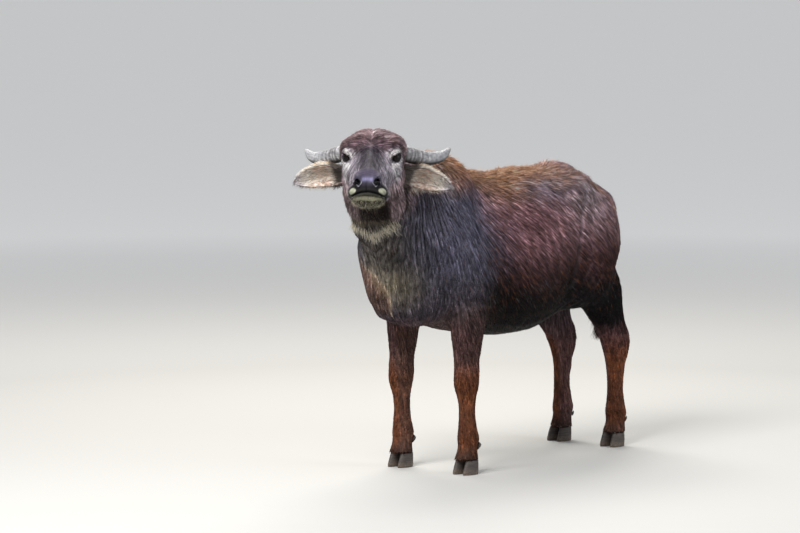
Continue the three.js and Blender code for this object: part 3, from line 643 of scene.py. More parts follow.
def carve_head(places):
    """How far each point of the head moves out along its normal: folds, nostrils, lips and brow."""
    side, front, up = to_face(places)
    wide = np.abs(side)
    face = ramp(-0.2, -0.12, front)
    # the line of the mouth, with a lip above and below it
    below = up - lip_line(wide, front)
    lips = -0.0062 * bell(below, 0, 0.0028) + 0.0016 * bell(below, 0.0085, 0.006)
    lips = lips + 0.0022 * bell(below, -0.0095, 0.006)
    move = lips * ramp(0.165, 0.19, front) * ramp(0.085, 0.06, wide)
    # nostrils: a curved pit, wider above, behind a raised outer wing
    pit = nostril_share(wide, up)
    nose = -0.009 * ramp(1.05, 0.7, pit) + 0.0026 * bell(pit, 1.42, 0.32)
    move += nose * ramp(0.205, 0.222, front)
    # the hairless pad between the nostrils, and a shallow furrow down its middle
    pad = ramp(0.238, 0.252, front) * ramp(-0.04, -0.026, up)
    move += pad * (-0.0022 * bell(side, 0, 0.0034) + 0.0012 * bell(wide, 0.01, 0.006))
    # the nose is drawn in beside the nostrils, and the upper lip flares below them
    move -= 0.0075 * bell(up, -0.004, 0.022) * ramp(0.04, 0.052, wide) * ramp(0.185, 0.222, front)
    move -= 0.0045 * bell(np.hypot(front - 0.212, (up + 0.066) * 1.2), 0, 0.028) * ramp(0.045, 0.06, wide)
    # temple, edge of the jowl and eye socket
    move += 0.009 * (side > 0) * bell(wide, 0.082, 0.03) * bell(front, -0.06, 0.05) * bell(up, 0.04, 0.03)
    edge = look_up(JOWL, up)
    jowl = ramp(-0.115, -0.085, front) * ramp(0.03, 0.0, front) * ramp(-0.09, -0.13, up)
    move += jowl * (0.0065 * bell(wide, edge - 0.013, 0.012) - 0.006 * bell(wide, edge + 0.004, 0.0045))
    move += 0.003 * bell(front, 0.0, 0.05) * bell(up, 0.0, 0.06) * ramp(0.055, 0.08, wide)
    # wrinkles across the bridge behind the pad, and slack folds at the corners of the mouth
    ripple = np.sin((front + 0.25 * wide + 0.004 * cloud(places, 0.03, 5)) * 2 * math.pi / 0.0085)
    move += 0.0009 * ripple * bell(front, 0.214, 0.018) * ramp(0.045, 0.02, wide) * ramp(-0.03, 0.0, up)
    corner = bell(np.hypot(front - 0.186, (up + 0.084) * 0.8), 0.016, 0.01) * ramp(0.03, 0.05, wide)
    move -= 0.002 * corner
    for which in SIDES:
        _, a, b, c = seen_from_eye(which, places)
        reach = np.hypot(a, b * 1.12)
        on = ramp(0, 0.006, c) * face
        # a crease that follows the upper lid, and fine creases below the eye
        crease = 0.0216 + 0.0009 * cloud(places, 0.012, 3)
        brow = -0.0024 * bell(reach, crease, 0.0019) + 0.002 * bell(reach, 0.027, 0.0042)
        move += on * ramp(0.0, 0.012, b) * (brow - 0.0013 * bell(reach, 0.034, 0.0022))
        shift = 0.001 * cloud(places, 0.014, 7)
        for radius, deep in ((0.0212, 0.0017), (0.0258, 0.0012), (0.0305, 0.0009)):
            move -= on * ramp(0.002, -0.008, b) * deep * bell(reach, radius + shift, 0.0016)
        # the tear furrow that runs forward and down from the inner corner
        tear = bell(b + 0.45 * (a - 0.016), -0.003, 0.003) * ramp(0.014, 0.018, a)
        move -= on * 0.0018 * tear * ramp(0.045, 0.022, a)
    # the veins and slack skin along the cheek
    cheek = bell(front, 0.085, 0.05) * bell(up, -0.062, 0.03) * face
    move += cheek * 0.0014 * cloud(places, 0.022, 11)
    move += face * 0.001 * cloud(places, 0.045, 12)
    return move * face


def neck_folds(places):
    """The slack folds across the neck, from -1 in their grooves to 1 on them."""
    x, y, z = to_body(places)
    lean = (y * 0.93 + 0.22 * z + 0.15 * x) + 0.009 * cloud(places, 0.05, 21)
    return (np.sin(lean * 2 * math.pi / 0.015) + 0.6 * np.sin(lean * 2 * math.pi / 0.025 + 1.3)) / 1.6


def carve_body(places):
    """How far each point of neck, trunk and legs moves outwards: slack folds, ribs, tendons and joints."""
    x, y, z = to_body(places)
    wide = np.abs(x)
    behind = behind_neck(places)
    wander = cloud(places, 0.05, 21)
    neck = ramp(-0.02, 0.02, behind) * ramp(0.26, 0.12, behind)
    move = 0.0039 * neck_folds(places) * neck * ramp(1.12, 1.04, z) * ramp(0.66, 0.76, z)
    move += 0.006 * bell(y + 0.3 * (z - 0.84), -0.568, 0.022) * bell(z, 0.84, 0.09) * ramp(0.08, 0.13, x)
    # ribs show faintly behind the shoulder
    ribs = np.sin((y + 0.3 * (z - 0.8) + 0.008 * wander) * 2 * math.pi / 0.062)
    move += 0.0026 * ribs * ramp(-0.2, -0.1, y) * ramp(0.24, 0.14, y) * bell(z, 0.76, 0.14)
    # the groove before the thigh, the thigh behind it and the hollow before the hip
    from_groove = y - look_up(GROOVE, z)
    flank = ramp(0.56, 0.64, z) * ramp(1.02, 0.96, z)
    move += flank * (-0.0075 * bell(from_groove, 0, 0.013) + 0.0035 * bell(from_groove, 0.038, 0.025))
    move -= 0.008 * bell(y, 0.265, 0.055) * bell(z, 0.955, 0.05) * ramp(0.08, 0.13, wide)
    # hip bone, and the edge that runs from it to the pin bone
    move += 0.007 * bell(y, 0.335, 0.03) * bell(z, 1.012, 0.028) * ramp(0.08, 0.12, wide)
    move += 0.0038 * bell(z, look_up(RIDGE, y), 0.01) * ramp(0.33, 0.36, y) * ramp(0.56, 0.53, y)
    # slack skin in front of the stifle and behind the elbow
    slack = bell(np.hypot((y - 0.3) * 0.8, z - 0.62), 0.0, 0.09)
    move += 0.0028 * np.sin((y * 0.75 - z * 0.66 + 0.006 * wander) * 2 * math.pi / 0.034) * slack
    elbow = bell(np.hypot(y + 0.21, z - 0.6), 0.0, 0.07)
    move += 0.0024 * np.sin((y * 0.9 + z * 0.42) * 2 * math.pi / 0.03) * elbow
    # tendons down the back of each cannon, and the groove between them and the bone
    for middle, foot_y in (FORE_FOOT, HIND_FOOT):
        foot = bell(y, foot_y, 0.09) * ramp(0.36, 0.3, z) * ramp(0.09, 0.13, z)
        move -= 0.003 * foot * ramp(0.008, 0.016, np.abs(wide - middle)) * bell(y - foot_y, 0.01, 0.008)
    move += 0.0012 * cloud(places, 0.035, 23) * ramp(0.5, 0.4, z)
    return move + 0.0022 * cloud(places, 0.11, 24) * ramp(0.5, 0.7, z)


def build_skin():
    """The whole skin: smooth base, finer face and neck, folds, lids and ears, as one closed mesh."""
    base = build_base_skin()
    places = places_of(base)
    behind = behind_neck(places)
    skin = finer_where(base, (behind > 0.0) & (behind < 0.19) & (places[:, 2] > 0.66))
    places = places_of(skin)
    eye_gap = np.min([np.linalg.norm(places - EYE_CENTRES[side], axis=1) for side in SIDES], axis=0)
    skin = finer_where(skin, (eye_gap < 0.042) | (to_head(places)[:, 1] > 0.168))
    places = fit_round_eyes(relaxed(skin, 1, 0.6))
    aside = MUZZLE_ASIDE * ramp(0.1, 0.22, to_head(places)[:, 1])
    places = places + aside[:, None] * HEAD_AXES[0]
    move_to(skin, places)
    on_head = ramp(-0.01, 0.05, -behind_neck(places))
    move = carve_head(places) * on_head + carve_body(places) * (1 - on_head)
    # the far side of the neck is drawn in above, and stands out below
    x, y, z = to_body(places)
    move -= 0.012 * bell(x, -0.05, 0.03) * bell(y, -0.78, 0.045) * bell(z, 1.0, 0.032)
    move += 0.013 * bell(x, -0.085, 0.04) * bell(y, -0.675, 0.05) * bell(z, 0.882, 0.034)
    places = places + normals_of(skin) * move[:, None]
    for side in SIDES:
        offset, a, b, c = seen_from_eye(side, places)
        reach = np.linalg.norm(offset, axis=1)
        share = opening_share(a, b)
        ahead = (c > 0) & (reach < 0.045)
        over = EYE_RADIUS + SKIN_OVER_BALL
        low = (reach < over) & (share > 1.25) & ahead
        places[low] = EYE_CENTRES[side] + offset[low] * (over / reach[low])[:, None]
        inside = ramp(1.45, 1.25, share) * ahead
        wanted = reach * (1 - inside) + (EYE_RADIUS - SKIN_UNDER_BALL) * inside
        places = EYE_CENTRES[side] + offset * (wanted / reach)[:, None]
    move_to(skin, places)
    extras = bpy.data.collections.new("extras")
    bpy.context.scene.collection.children.link(extras)
    for mesh in (make(side) for make in (ear_mesh, lid_mesh) for side in SIDES):
        extras.objects.link(bpy.data.objects.new(mesh.name, mesh))
    joined = through_modifiers(skin, ("BOOLEAN", {
        "operation": "UNION", "operand_type": "COLLECTION", "collection": extras, "solver": "MANIFOLD",
    }))
    for extra in list(extras.objects):
        bpy.data.objects.remove(extra)
    bpy.data.collections.remove(extras)
    return joined


class Socket:
    """A node's output that can be added, multiplied and compared like a number."""

    def __init__(self, maker, output):
        self.maker, self.output = maker, output

    def __add__(self, other):
        return self.maker.maths("ADD", self, other)

    def __sub__(self, other):
        return self.maker.maths("SUBTRACT", self, other)

    def __mul__(self, other):
        return self.maker.maths("MULTIPLY", self, other)

    def __truediv__(self, other):
        return self.maker.maths("DIVIDE", self, other)

    def __pow__(self, other):
        return self.maker.maths("POWER", self, other)

    def __rsub__(self, other):
        return self.maker.maths("SUBTRACT", other, self)

    __radd__, __rmul__ = __add__, __mul__

    def above(self, low, high):
        """Rises from 0 at low to 1 at high."""
        settings = {"interpolation_type": "SMOOTHSTEP"}
        return self.maker.node("ShaderNodeMapRange", settings, {0: self, 1: low, 2: high, 3: 0.0, 4: 1.0})


class Nodes:
    """Makes the nodes of one tree."""

    def __init__(self, tree):
        self.tree = tree

    def fill(self, socket, value):
        """Gives a socket its value, or links it to the output that makes it."""
        if isinstance(value, Socket):
            self.tree.links.new(value.output, socket)
        else:
            socket.default_value = value

    def node(self, kind, settings=None, values=(), out=0):
        """One node: its type, its settings, what its sockets get, and the output that counts."""
        node = self.tree.nodes.new(kind)
        for key, value in (settings or {}).items():
            setattr(node, key, value)
        for key, value in values.items() if isinstance(values, dict) else enumerate(values):
            self.fill(node.inputs[key], value)
        return Socket(self, node.outputs[out])

    def maths(self, operation, *values):
        """One step of arithmetic."""
        return self.node("ShaderNodeMath", {"operation": operation}, values)


class Maker(Nodes):
    """Builds one material."""

    def __init__(self, name):
        self.material = bpy.data.materials.new(name)
        self.material.use_nodes = True
        super().__init__(self.material.node_tree)
        self.shader = next(node for node in self.tree.nodes if node.type == "BSDF_PRINCIPLED")
        self.place = self.node("ShaderNodeTexCoord", out="Object")

    def noise(self, scale, detail=2.0, rough=0.5, place=None):
        """Soft noise from 0 to 1, with scale in waves a metre."""
        return self.node("ShaderNodeTexNoise", {"noise_dimensions": "4D"}, {
            "Vector": place or self.place, "Scale": scale, "Detail": detail, "Roughness": rough})

    def strands(self, detail, rough, scale, turn=(0.0, 0.0, 0.0)):
        """Noise drawn out by a scale for each direction."""
        place = self.node("ShaderNodeMapping", {}, {"Vector": self.place, "Rotation": turn, "Scale": scale})
        return self.noise(1.0, detail, rough, place)

    def mix(self, share, low, high, blend="MIX"):
        """Two colours mixed by a share."""
        settings = {"data_type": "RGBA", "blend_type": blend}
        return self.node("ShaderNodeMix", settings, {0: share, 6: low, 7: high}, 2)

    def times(self, colour, *factors):
        """A colour multiplied by a factor for red, green and blue."""
        return self.mix(1.0, colour, (*factors, 1), "MULTIPLY")

    def kept(self):
        """The colour kept on the mesh."""
        return self.node("ShaderNodeAttribute", {"attribute_name": "coat_colour"}, out="Color")

    def bump(self, height, strength, distance):
        """Sets the relief of the surface."""
        self.set(Normal=self.node("ShaderNodeBump", {}, {
            "Height": height, "Strength": strength, "Distance": distance}))

    def set(self, **values):
        """Sets the shader's sockets, named with _ for a space."""
        for key, value in values.items():
            self.fill(self.shader.inputs[key.replace("_", " ")], value)


class GeometryTree(Nodes):
    """Builds one Geometry Nodes tree whose inputs are numbers."""

    def __init__(self, name, **inputs):
        self.group = bpy.data.node_groups.new(name, "GeometryNodeTree")
        super().__init__(self.group)
        face = self.group.interface
        face.new_socket("Geometry", in_out="INPUT", socket_type="NodeSocketGeometry")
        for key, value in inputs.items():
            face.new_socket(key, in_out="INPUT", socket_type="NodeSocketFloat").default_value = value
        face.new_socket("Geometry", in_out="OUTPUT", socket_type="NodeSocketGeometry")
        self.entry = self.tree.nodes.new("NodeGroupInput")

    def given(self, name):
        """One of the tree's inputs."""
        return Socket(self, self.entry.outputs[name])

    def finish(self, geometry, material):
        """Turns what the tree made into a mesh of its material, and ends the tree."""
        made = self.node("GeometryNodeRealizeInstances", {}, {"Geometry": geometry})
        finished = self.node("GeometryNodeSetMaterial", {}, {"Geometry": made, "Material": material})
        self.fill(self.tree.nodes.new("NodeGroupOutput").inputs[0], finished)
        return self.group


def rgb(red, green, blue):
    """A colour given as it shows on screen, from 0 to 255, for the shader."""
    values = [channel / 255 for channel in (red, green, blue)]
    linear = [v / 12.92 if v <= 0.04045 else ((v + 0.055) / 1.055) ** 2.4 for v in values]
    return (*linear, 1.0)


def put_in_scene(name, mesh, material):
    """Adds a finished piece at the origin."""
    piece = bpy.data.objects.new(name, mesh)
    bpy.context.scene.collection.objects.link(piece)
    mesh.materials.clear()
    mesh.materials.append(material)
    return piece


def add_piece(name, mesh, material, slot, *replaced):
    """Adds a finished piece at the origin, on the body and in the place of its nodes; the slot is not used.
    """
    piece = put_in_scene(name, mesh, material)
    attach(piece, BODY)
    if replaced:
        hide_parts(*replaced)


def tone(red, green, blue):
    """A colour given as it shows on screen, as an array for the mesh."""
    return np.array(rgb(red, green, blue)[:3])


def blend(colours, mask, wanted):
    """Colours moved towards the wanted one by the mask."""
    return colours + (wanted - colours) * np.clip(mask, 0, 1)[:, None]


class Paint:
    """Colours of a set of places, laid over one another."""

    def __init__(self, places, *base):
        self.colours = np.tile(tone(*base), (len(places), 1))

    def over(self, mask, *wanted):
        """Moves the colours towards a wanted one by a mask."""
        self.colours = blend(self.colours, mask, tone(*wanted))

    def shade(self, factor):
        """Makes the colours lighter and darker."""
        self.colours = self.colours * factor[:, None]


def markings(places, normals):
    """The colour of hide and hair at each place."""
    x, y, z = to_body(places)
    wide = np.abs(x)
    behind = behind_neck(places)
    soft = cloud(places, 0.13, 31)
    fine = cloud(places, 0.035, 32)
    trunk = ramp(-0.06, 0.06, behind)
    hide = Paint(places, 112, 78, 80)
    hide.over(ramp(0.1, 0.34, y) * ramp(0.7, 0.85, z), 118, 88, 90)
    grey = ramp(-0.05, -0.33, y + 0.05 * soft) * ramp(0.48, 0.6, z)
    hide.over(grey, 71, 66, 76)
    # painted sheen: the top of the back is paler where it faces up
    back_sheen = ramp(0.35, 0.85, normals[:, 2]) * ramp(0.9, 1.0, z) * trunk
    hide.over(back_sheen * 0.85 * ramp(0.4, 0.25, y), 136, 100, 76)
    # a greyish painted sheen over the loin
    loin_sheen = bell(y, 0.13, 0.12) * bell(z, 0.995, 0.045) * ramp(0.05, 0.1, wide)
    hide.over(loin_sheen * 0.7, 126, 112, 122)
    withers = bell(y, -0.42, 0.16) * ramp(0.98, 1.08, z)
    hide.over(withers * 0.7 * trunk, 140, 88, 62)
    # a greyish painted sheen round the hip
    hide.over(bell(y, 0.36, 0.15) * bell(z, 0.97, 0.11) * 0.8, 124, 108, 108)
    hide.over(ramp(0.46, 0.6, y) * ramp(0.66, 0.8, z) * 0.8, 104, 80, 80)
    hide.over(ramp(0.36, 0.46, y) * bell(z, 0.6, 0.16) * 0.8, 56, 40, 36)
    lit = (ramp(0.64, 0.8, z) * trunk)[:, None]
    hide.colours = hide.colours * (1 + lit * np.array((0.55, 0.75, 0.95)))
    # the dark flank and belly, and the legs
    above_knee = ramp(0.42, 0.5, z)
    level = z + 0.03 * soft
    hide.over(ramp(0.86, 0.68, level) * above_knee * ramp(-0.36, -0.16, y) * 0.85, 38, 26, 31)
    hide.over(ramp(0.72, 0.6, level) * above_knee * ramp(-0.32, -0.22, y) * 0.96, 12, 8, 10)
    fore = bell(y, -0.335, 0.11) * ramp(0.3, 0.4, z) * ramp(0.66, 0.56, z)
    hide.over(fore * 0.85, 82, 63, 60)
    low = ramp(0.44, 0.32, level)
    hide.over(low, 112, 66, 42)
    # the inner sides of the legs: their hair colour, with a greyish purple painted sheen on the hind ones
    inner = ramp(0.0, -0.6, normals[:, 0] * np.sign(x)) * ramp(0.66, 0.5, z) * 0.6
    hide.over(inner * (y > 0.2), 104, 86, 92)
    hide.over(inner * (y <= 0.2), 98, 74, 66)
    hide.over(low * bell(z, 0.19, 0.06) * 0.4, 78, 48, 36)
    hide.over(ramp(0.12, 0.06, z) * 0.75, 62, 46, 40)
    # throat, chest and neck
    front = ramp(0.25, -0.35, normals[:, 1]) * grey
    hide.over(front * ramp(0.2, 0.05, wide) * ramp(0.32, 0.18, behind) * 0.85, 120, 112, 92)
    chest = front * ramp(-0.1, -0.02, x) * ramp(0.15, 0.06, x) * bell(z, 0.72, 0.07)
    hide.over(chest * 0.6, 122, 114, 100)
    hide.colours = chest_line(places, normals, hide.colours)
    patch = bell(behind, 0.155, 0.03) * bell(z, 0.9, 0.12) * ramp(0.05, 0.1, x)
    hide.over(patch * 0.75, 122, 119, 138)
    pleats = ramp(0.0, 0.03, behind) * ramp(0.26, 0.14, behind) * ramp(0.66, 0.76, z)
    hide.over(pleats * 0.6, 58, 56, 68)
    # painted shade in the grooves of the neck's slack folds, and painted light on the folds
    hide.shade(np.clip(1 + 0.75 * neck_folds(places) * pleats, 0.3, 2.0))
    # painted highlight along the edge from hip to pin bone, and painted shade in the groove before the thigh
    ridge_highlight = bell(z, look_up(RIDGE, y), 0.007) * ramp(0.34, 0.38, y) * ramp(0.56, 0.53, y)
    hide.over(ridge_highlight * 0.75, 170, 132, 108)
    groove_shade = bell(y, look_up(GROOVE, z), 0.012) * ramp(0.58, 0.66, z) * ramp(0.98, 0.92, z)
    hide.over(groove_shade * 0.6, 40, 27, 26)
    hide.shade(np.clip(1 + 0.16 * soft + 0.14 * fine, 0.4, 1.8))
    colours = face_markings(places, normals, hide.colours, behind)
    return np.clip(colours * np.exp(streaks(places, normals, behind))[:, None], 0.002, 1)


def chest_line(places, normals, colours):
    """The pale line of hair down the slack skin of the chest, with rusty brown beyond it."""
    x, y, z = to_body(places)
    near = np.nonzero((y < -0.45) & (np.abs(x) < 0.22) & (z > 0.54) & (z < 0.85) & (normals[:, 1] < 0))[0]
    x, y, z = x[near], y[near], z[near]
    line = upright(*(np.interp(np.linspace(0, 6, 61), np.arange(7), CHEST_LINE[:, k]) for k in (1, 0)))
    gap, _ = nearest_on(line, upright(x, z))
    ends = ramp(0.56, 0.62, z) * ramp(0.84, 0.74, z) * ramp(-0.48, -0.57, y)
    ends = ends * ramp(-0.05, -0.45, normals[near, 1]) * ramp(-0.2, -0.15, x)
    beyond = ramp(0.004, -0.01, x - look_up(CHEST_LINE, z)) * ends
    result = colours.copy()
    for mask, wanted in (
        (beyond * 0.85, (126, 98, 88)),
        (beyond * ramp(0.69, 0.62, z) * 0.6, (58, 47, 46)),
        (bell(gap, 0, 0.005) * ends * 0.75, (196, 176, 152)),
    ):
        result[near] = blend(result[near], mask, tone(*wanted))
    return result


def streaks(places, normals, behind):
    """Light and dark streaks that follow the lie of the hair, strongest on the face: partly the hair's own
    colour and partly painted highlights along the hair.
    """
    way = lie_of_coat(places, normals)
    fine = sum(cloud(places + way * (0.0038 * step), 0.0029, 33) for step in range(-3, 4)) / 0.83
    broad = sum(cloud(places + way * (0.01 * step), 0.0085, 34) for step in range(-2, 3)) / 0.7
    face = ramp(0.03, -0.03, behind)
    strength = 0.38 + 0.1 * face - 0.1 * ramp(0.56, 0.44, places[:, 2])
    strength = strength * (1 - 0.85 * face * ramp(0.165, 0.2, to_head(places)[:, 1]))
    return strength * (fine + (0.3 - 0.2 * face) * broad)


def face_markings(places, normals, colours, behind):
    """Adds the colours of the head and the ears."""
    side, front, up = to_face(places)
    wide = np.abs(side)
    facing = normals @ HEAD_AXES.T
    fine = cloud(places, 0.012, 41)
    soft = cloud(places, 0.03, 42)
    head = Paint(places, 78, 61, 68)
    crown = ramp(-0.01, -0.06, front + 0.02 * soft) * ramp(-0.03, 0.03, up)
    head.over(crown, 150, 128, 134)
    cheek = ramp(0.35, 0.85, np.abs(facing[:, 0])) * ramp(-0.03, 0.03, front)
    head.over(cheek * 0.9, 150, 143, 154)
    head.over(ramp(0.02, -0.05, front) * ramp(-0.01, -0.05, up) * 0.9, 128, 108, 114)
    stripe = ramp(0.058, 0.016, wide + 0.004 * fine) * ramp(0.0, 0.06, front)
    head.over(stripe * ramp(-0.1, 0.25, facing[:, 2]) * 0.95, 34, 29, 43)
    # the end of the muzzle, with the hairless pad and a painted highlight on it
    end = ramp(0.178, 0.212, front) * ramp(-0.05, -0.01, up) * ramp(0.052, 0.04, wide)
    head.over(end * 0.85, 84, 77, 98)
    head.over(ramp(0.222, 0.24, front) * ramp(-0.038, -0.028, up) * 0.85, 66, 62, 78)
    # painted highlight on the top of the pad
    pad_highlight = bell(up, 0.009, 0.0055) * ramp(0.024, 0.015, wide) * ramp(0.205, 0.225, front)
    head.over(pad_highlight * 0.6, 150, 147, 190)
    head.over(ramp(0.003, -0.012, up) * ramp(0.215, 0.235, front) * 0.8, 36, 33, 41)
    upper_lip = ramp(0.228, 0.24, front) * ramp(-0.006, -0.017, up + 0.003 * fine)
    head.over(upper_lip * 0.95, 24, 21, 24)
    # jaw and jowl
    # the dark under the jaw: dark hair, with painted shade
    jaw = ramp(-0.075, -0.105, up + 0.012 * soft) * ramp(0.225, 0.205, front)
    head.over(jaw * 0.95, 30, 22, 20)
    jowl = ramp(0.044, 0.066, wide) * ramp(-0.06, -0.09, up) * ramp(0.16, 0.1, front)
    head.over(jowl * 0.95, 150, 130, 136)
    # painted shade in the crease along the jowl's edge
    crease = bell(wide, look_up(JOWL, up) + 0.004, 0.0055) * ramp(-0.115, -0.085, front)
    head.over(crease * ramp(-0.09, -0.13, up) * 0.85, 18, 16, 20)
    shadow = ramp(-0.135, -0.175, up) * ramp(0.06, 0.04, wide) * ramp(-0.1, -0.04, front)
    head.over(shadow * 0.85, 16, 12, 11)
    # lips, the pale patch above them, and chin
    below = up - lip_line(wide, front)
    dark_lips = ramp(0.19, 0.215, front) * ramp(0.02, 0.01, below)
    head.over(dark_lips * ramp(-0.095, -0.08, up) * 0.9, 34, 30, 34)
    aside, above = wide - 0.0515, up + 0.0335
    lip_patch = ramp(1.2, 0.85, np.hypot(aside / 0.012, (above + 0.55 * aside) / 0.0092))
    pale = tone(190, 193, 170) * (0.55 + 0.5 * ramp(-0.008, 0.006, above))[:, None]
    head.colours = blend(head.colours, lip_patch * ramp(0.205, 0.228, front), pale)
    # below the lower lip: dark brown hair with painted shade
    beard_and_shade = ramp(0.196, 0.212, front) * ramp(-0.052, -0.064, up + 0.003 * soft)
    head.over(beard_and_shade * 0.95, 38, 33, 27)
    chin = ramp(-0.001, -0.006, below) * ramp(0.205, 0.232, front) * ramp(0.057, 0.048, wide)
    height = up + 5.0 * wide ** 2 + 0.003 * soft
    lip = Paint(places, 52, 52, 42)
    lip.over(ramp(-0.043, -0.049, height), 140, 140, 120)
    lip.over(ramp(-0.056, -0.064, height), 60, 62, 33)
    chin = chin * ramp(-0.068, -0.058, up + 0.002 * fine) * 0.95
    head.colours = blend(head.colours, chin, lip.colours)
    head.over(ramp(0.17, 0.19, front) * bell(below, 0.0035, 0.0048) * 0.95, 16, 14, 16)
    for which in SIDES:
        _, a, b, c = seen_from_eye(which, places)
        share = opening_share(a, b)
        on = ramp(0.0, 0.008, c)
        lid_way = ramp(0.15, 0.6, np.abs(b) / (np.hypot(a, b) + 1e-6))
        head.over(on * bell(share, 3.0, 0.6) * lid_way * (b > 0) * 0.8, 176, 168, 176)
        head.over(on * bell(share, 2.0, 0.48) * lid_way * 1.2, 238, 232, 234)
        head.over(on * bell(a, 0.01, 0.024) * bell(b, -0.044, 0.032) * 0.85, 196, 192, 198)
        head.over(on * ramp(1.36, 1.14, opening_share(a, b, LID_POWERS)) * 0.95, 22, 19, 21)
        tear = bell(b + 0.45 * (a - 0.018), -0.003, 0.0028) * ramp(0.016, 0.021, a)
        head.over(on * tear * ramp(0.045, 0.03, a) * 0.6, 44, 38, 42)
    pit, in_front = nostril_share(wide, up), ramp(0.2, 0.222, front)
    rim = bell(pit, 1.26, 0.15) * ramp(0.006, -0.003, up + 0.25 * (wide - 0.0318))
    head.over(in_front * rim * 0.75, 176, 174, 186)
    # painted shade: the nostrils' pits near black
    head.over(in_front * ramp(1.08, 0.88, pit), 10, 8, 11)
    head.shade(np.clip(1 + 0.1 * soft + 0.1 * fine, 0.5, 1.6))
    colours = blend(colours, ramp(0.03, -0.05, behind + 0.02 * soft), head.colours)
    inside = ramp(0.0, 0.5, facing[:, 1])
    for which in SIDES:
        gap, number = nearest_on(ear_path(which)(np.linspace(0, 1, 25)), upright(side, front, up))
        share = number / 24
        shell = Paint(places, 94, 76, 68)
        shell.over(inside * 0.9, 214, 196, 184)
        shell.over(inside * bell(share, 0.52, 0.16) * 0.4, 196, 140, 112)
        shell.over(ramp(0.78, 0.92, share) * 0.85, 170, 166, 174)
        shell.over(inside * ramp(0.42, 0.3, share) * 0.95, 34, 29, 32)
        shell.shade(1 + 0.15 * fine)
        ear = ramp(0.062, 0.05, gap) * ramp(0.104, 0.116, which * side)
        colours = blend(colours, ear, shell.colours)
    return np.clip(colours, 0.002, 1)


def keep_colours(mesh, colours):
    """Stores a colour at each point of the mesh."""
    kept = mesh.attributes.new("coat_colour", "FLOAT_COLOR", "POINT")
    full = np.ones((len(mesh.vertices), 4), dtype=np.float32)
    full[:, :3] = colours
    kept.data.foreach_set("color", full.ravel())


def lie_of_coat(places, normals):
    """The way that the hair runs at each place, along the skin."""
    _, y, z = to_body(places)
    steep = np.interp(y, (-0.75, -0.55, -0.35, 0.0, 0.3, 0.5, 0.66), np.radians((86, 82, 66, 44, 46, 62, 76)))
    down = DOWN + normals * normals[:, 2:3]
    down = down / (np.linalg.norm(down, axis=1, keepdims=True) + 0.12)
    way = np.cos(steep)[:, None] * np.array((0, 1.0, 0)) + np.sin(steep)[:, None] * down
    way = blend(way, ramp(0.56, 0.42, z), np.array((0, 0.22, -1.0)))
    # on the face the hair runs out from a whorl between the eyes
    side, front, up = to_head(places).T
    wide, outward = np.abs(side), np.sign(side)
    rise = np.where(front > 0.03, -0.25, 0.55) - ramp(0.03, 0.07, wide) * 1.2
    face_way = upright(side * 9.8 + outward * 0.15, (front - 0.03) * 9, rise)
    crown = ramp(0.03, -0.02, front) * ramp(0.015, 0.045, up)
    face_way = blend(face_way, crown, upright(outward * (0.25 + 9 * wide), -0.3, -10 * wide))
    face_way = blend(face_way, ramp(-0.06, -0.1, up), np.array((0, -0.6, -1.0)))
    face_way = blend(face_way, ramp(0.17, 0.21, front), upright(side * 14, 0.3, -1.0))
    way = blend(way, ramp(0.04, -0.04, behind_neck(places)), unit(face_way) @ HEAD_AXES)
    shares = np.linspace(0, 1, 25)
    local = to_head(places)
    for which in SIDES:
        line = ear_path(which)
        gap, number = nearest_on(line(shares), local)
        nearest = shares[number]
        ear = ramp(0.066, 0.054, gap) * ramp(0.1, 0.116, which * side)
        ear_way = unit(tangent_of(line, nearest) * 0.9 + (local - line(nearest)) / 0.045 * 0.8)
        way = blend(way, ear, ear_way @ HEAD_AXES)
    return unit(across_normals(way, normals))


def scatter(mesh, density, seed):
    """Places and normals spread over a mesh; density is a function giving tufts a square metre."""
    mesh.calc_loop_triangles()
    corners = read(mesh.loop_triangles, "vertices", 3, np.int64)
    places, normals = places_of(mesh), normals_of(mesh)
    a, b, c = (places[corners[:, k]] for k in range(3))
    area = np.linalg.norm(np.cross(b - a, c - a), axis=1) / 2
    expected = area * density((a + b + c) / 3, unit(normals[corners].sum(axis=1)))
    draw = np.random.default_rng(seed)
    count = np.floor(expected + draw.random(len(expected))).astype(int)
    which = np.repeat(np.arange(len(area)), count)
    u, v = draw.random(len(which)), draw.random(len(which))
    flip = u + v > 1
    u[flip], v[flip] = 1 - u[flip], 1 - v[flip]
    u, v = u[:, None], v[:, None]
    n = normals[corners[which]]
    spots = a[which] + (b - a)[which] * u + (c - a)[which] * v
    return spots, unit(n[:, 0] * (1 - u - v) + n[:, 1] * u + n[:, 2] * v)


def gathered(spots, clump, pull, seed):
    """Tips of the tufts drawn together into locks: the sideways offset of each tip."""
    draw = np.random.default_rng(seed)
    chosen = spots[draw.random(len(spots)) < clump]
    tree = KDTree(len(chosen))
    for i, place in enumerate(chosen):
        tree.insert(place, i)
    tree.balance()
    nearest = np.array([tree.find(place)[1] for place in spots])
    return (chosen[nearest] - spots) * pull


def held_to(offsets, share, lengths):
    """Offsets no longer than a share of the hairs' lengths."""
    reach = np.linalg.norm(offsets, axis=1, keepdims=True)
    return offsets * np.minimum(1, share * lengths[:, None] / np.maximum(reach, 1e-6))


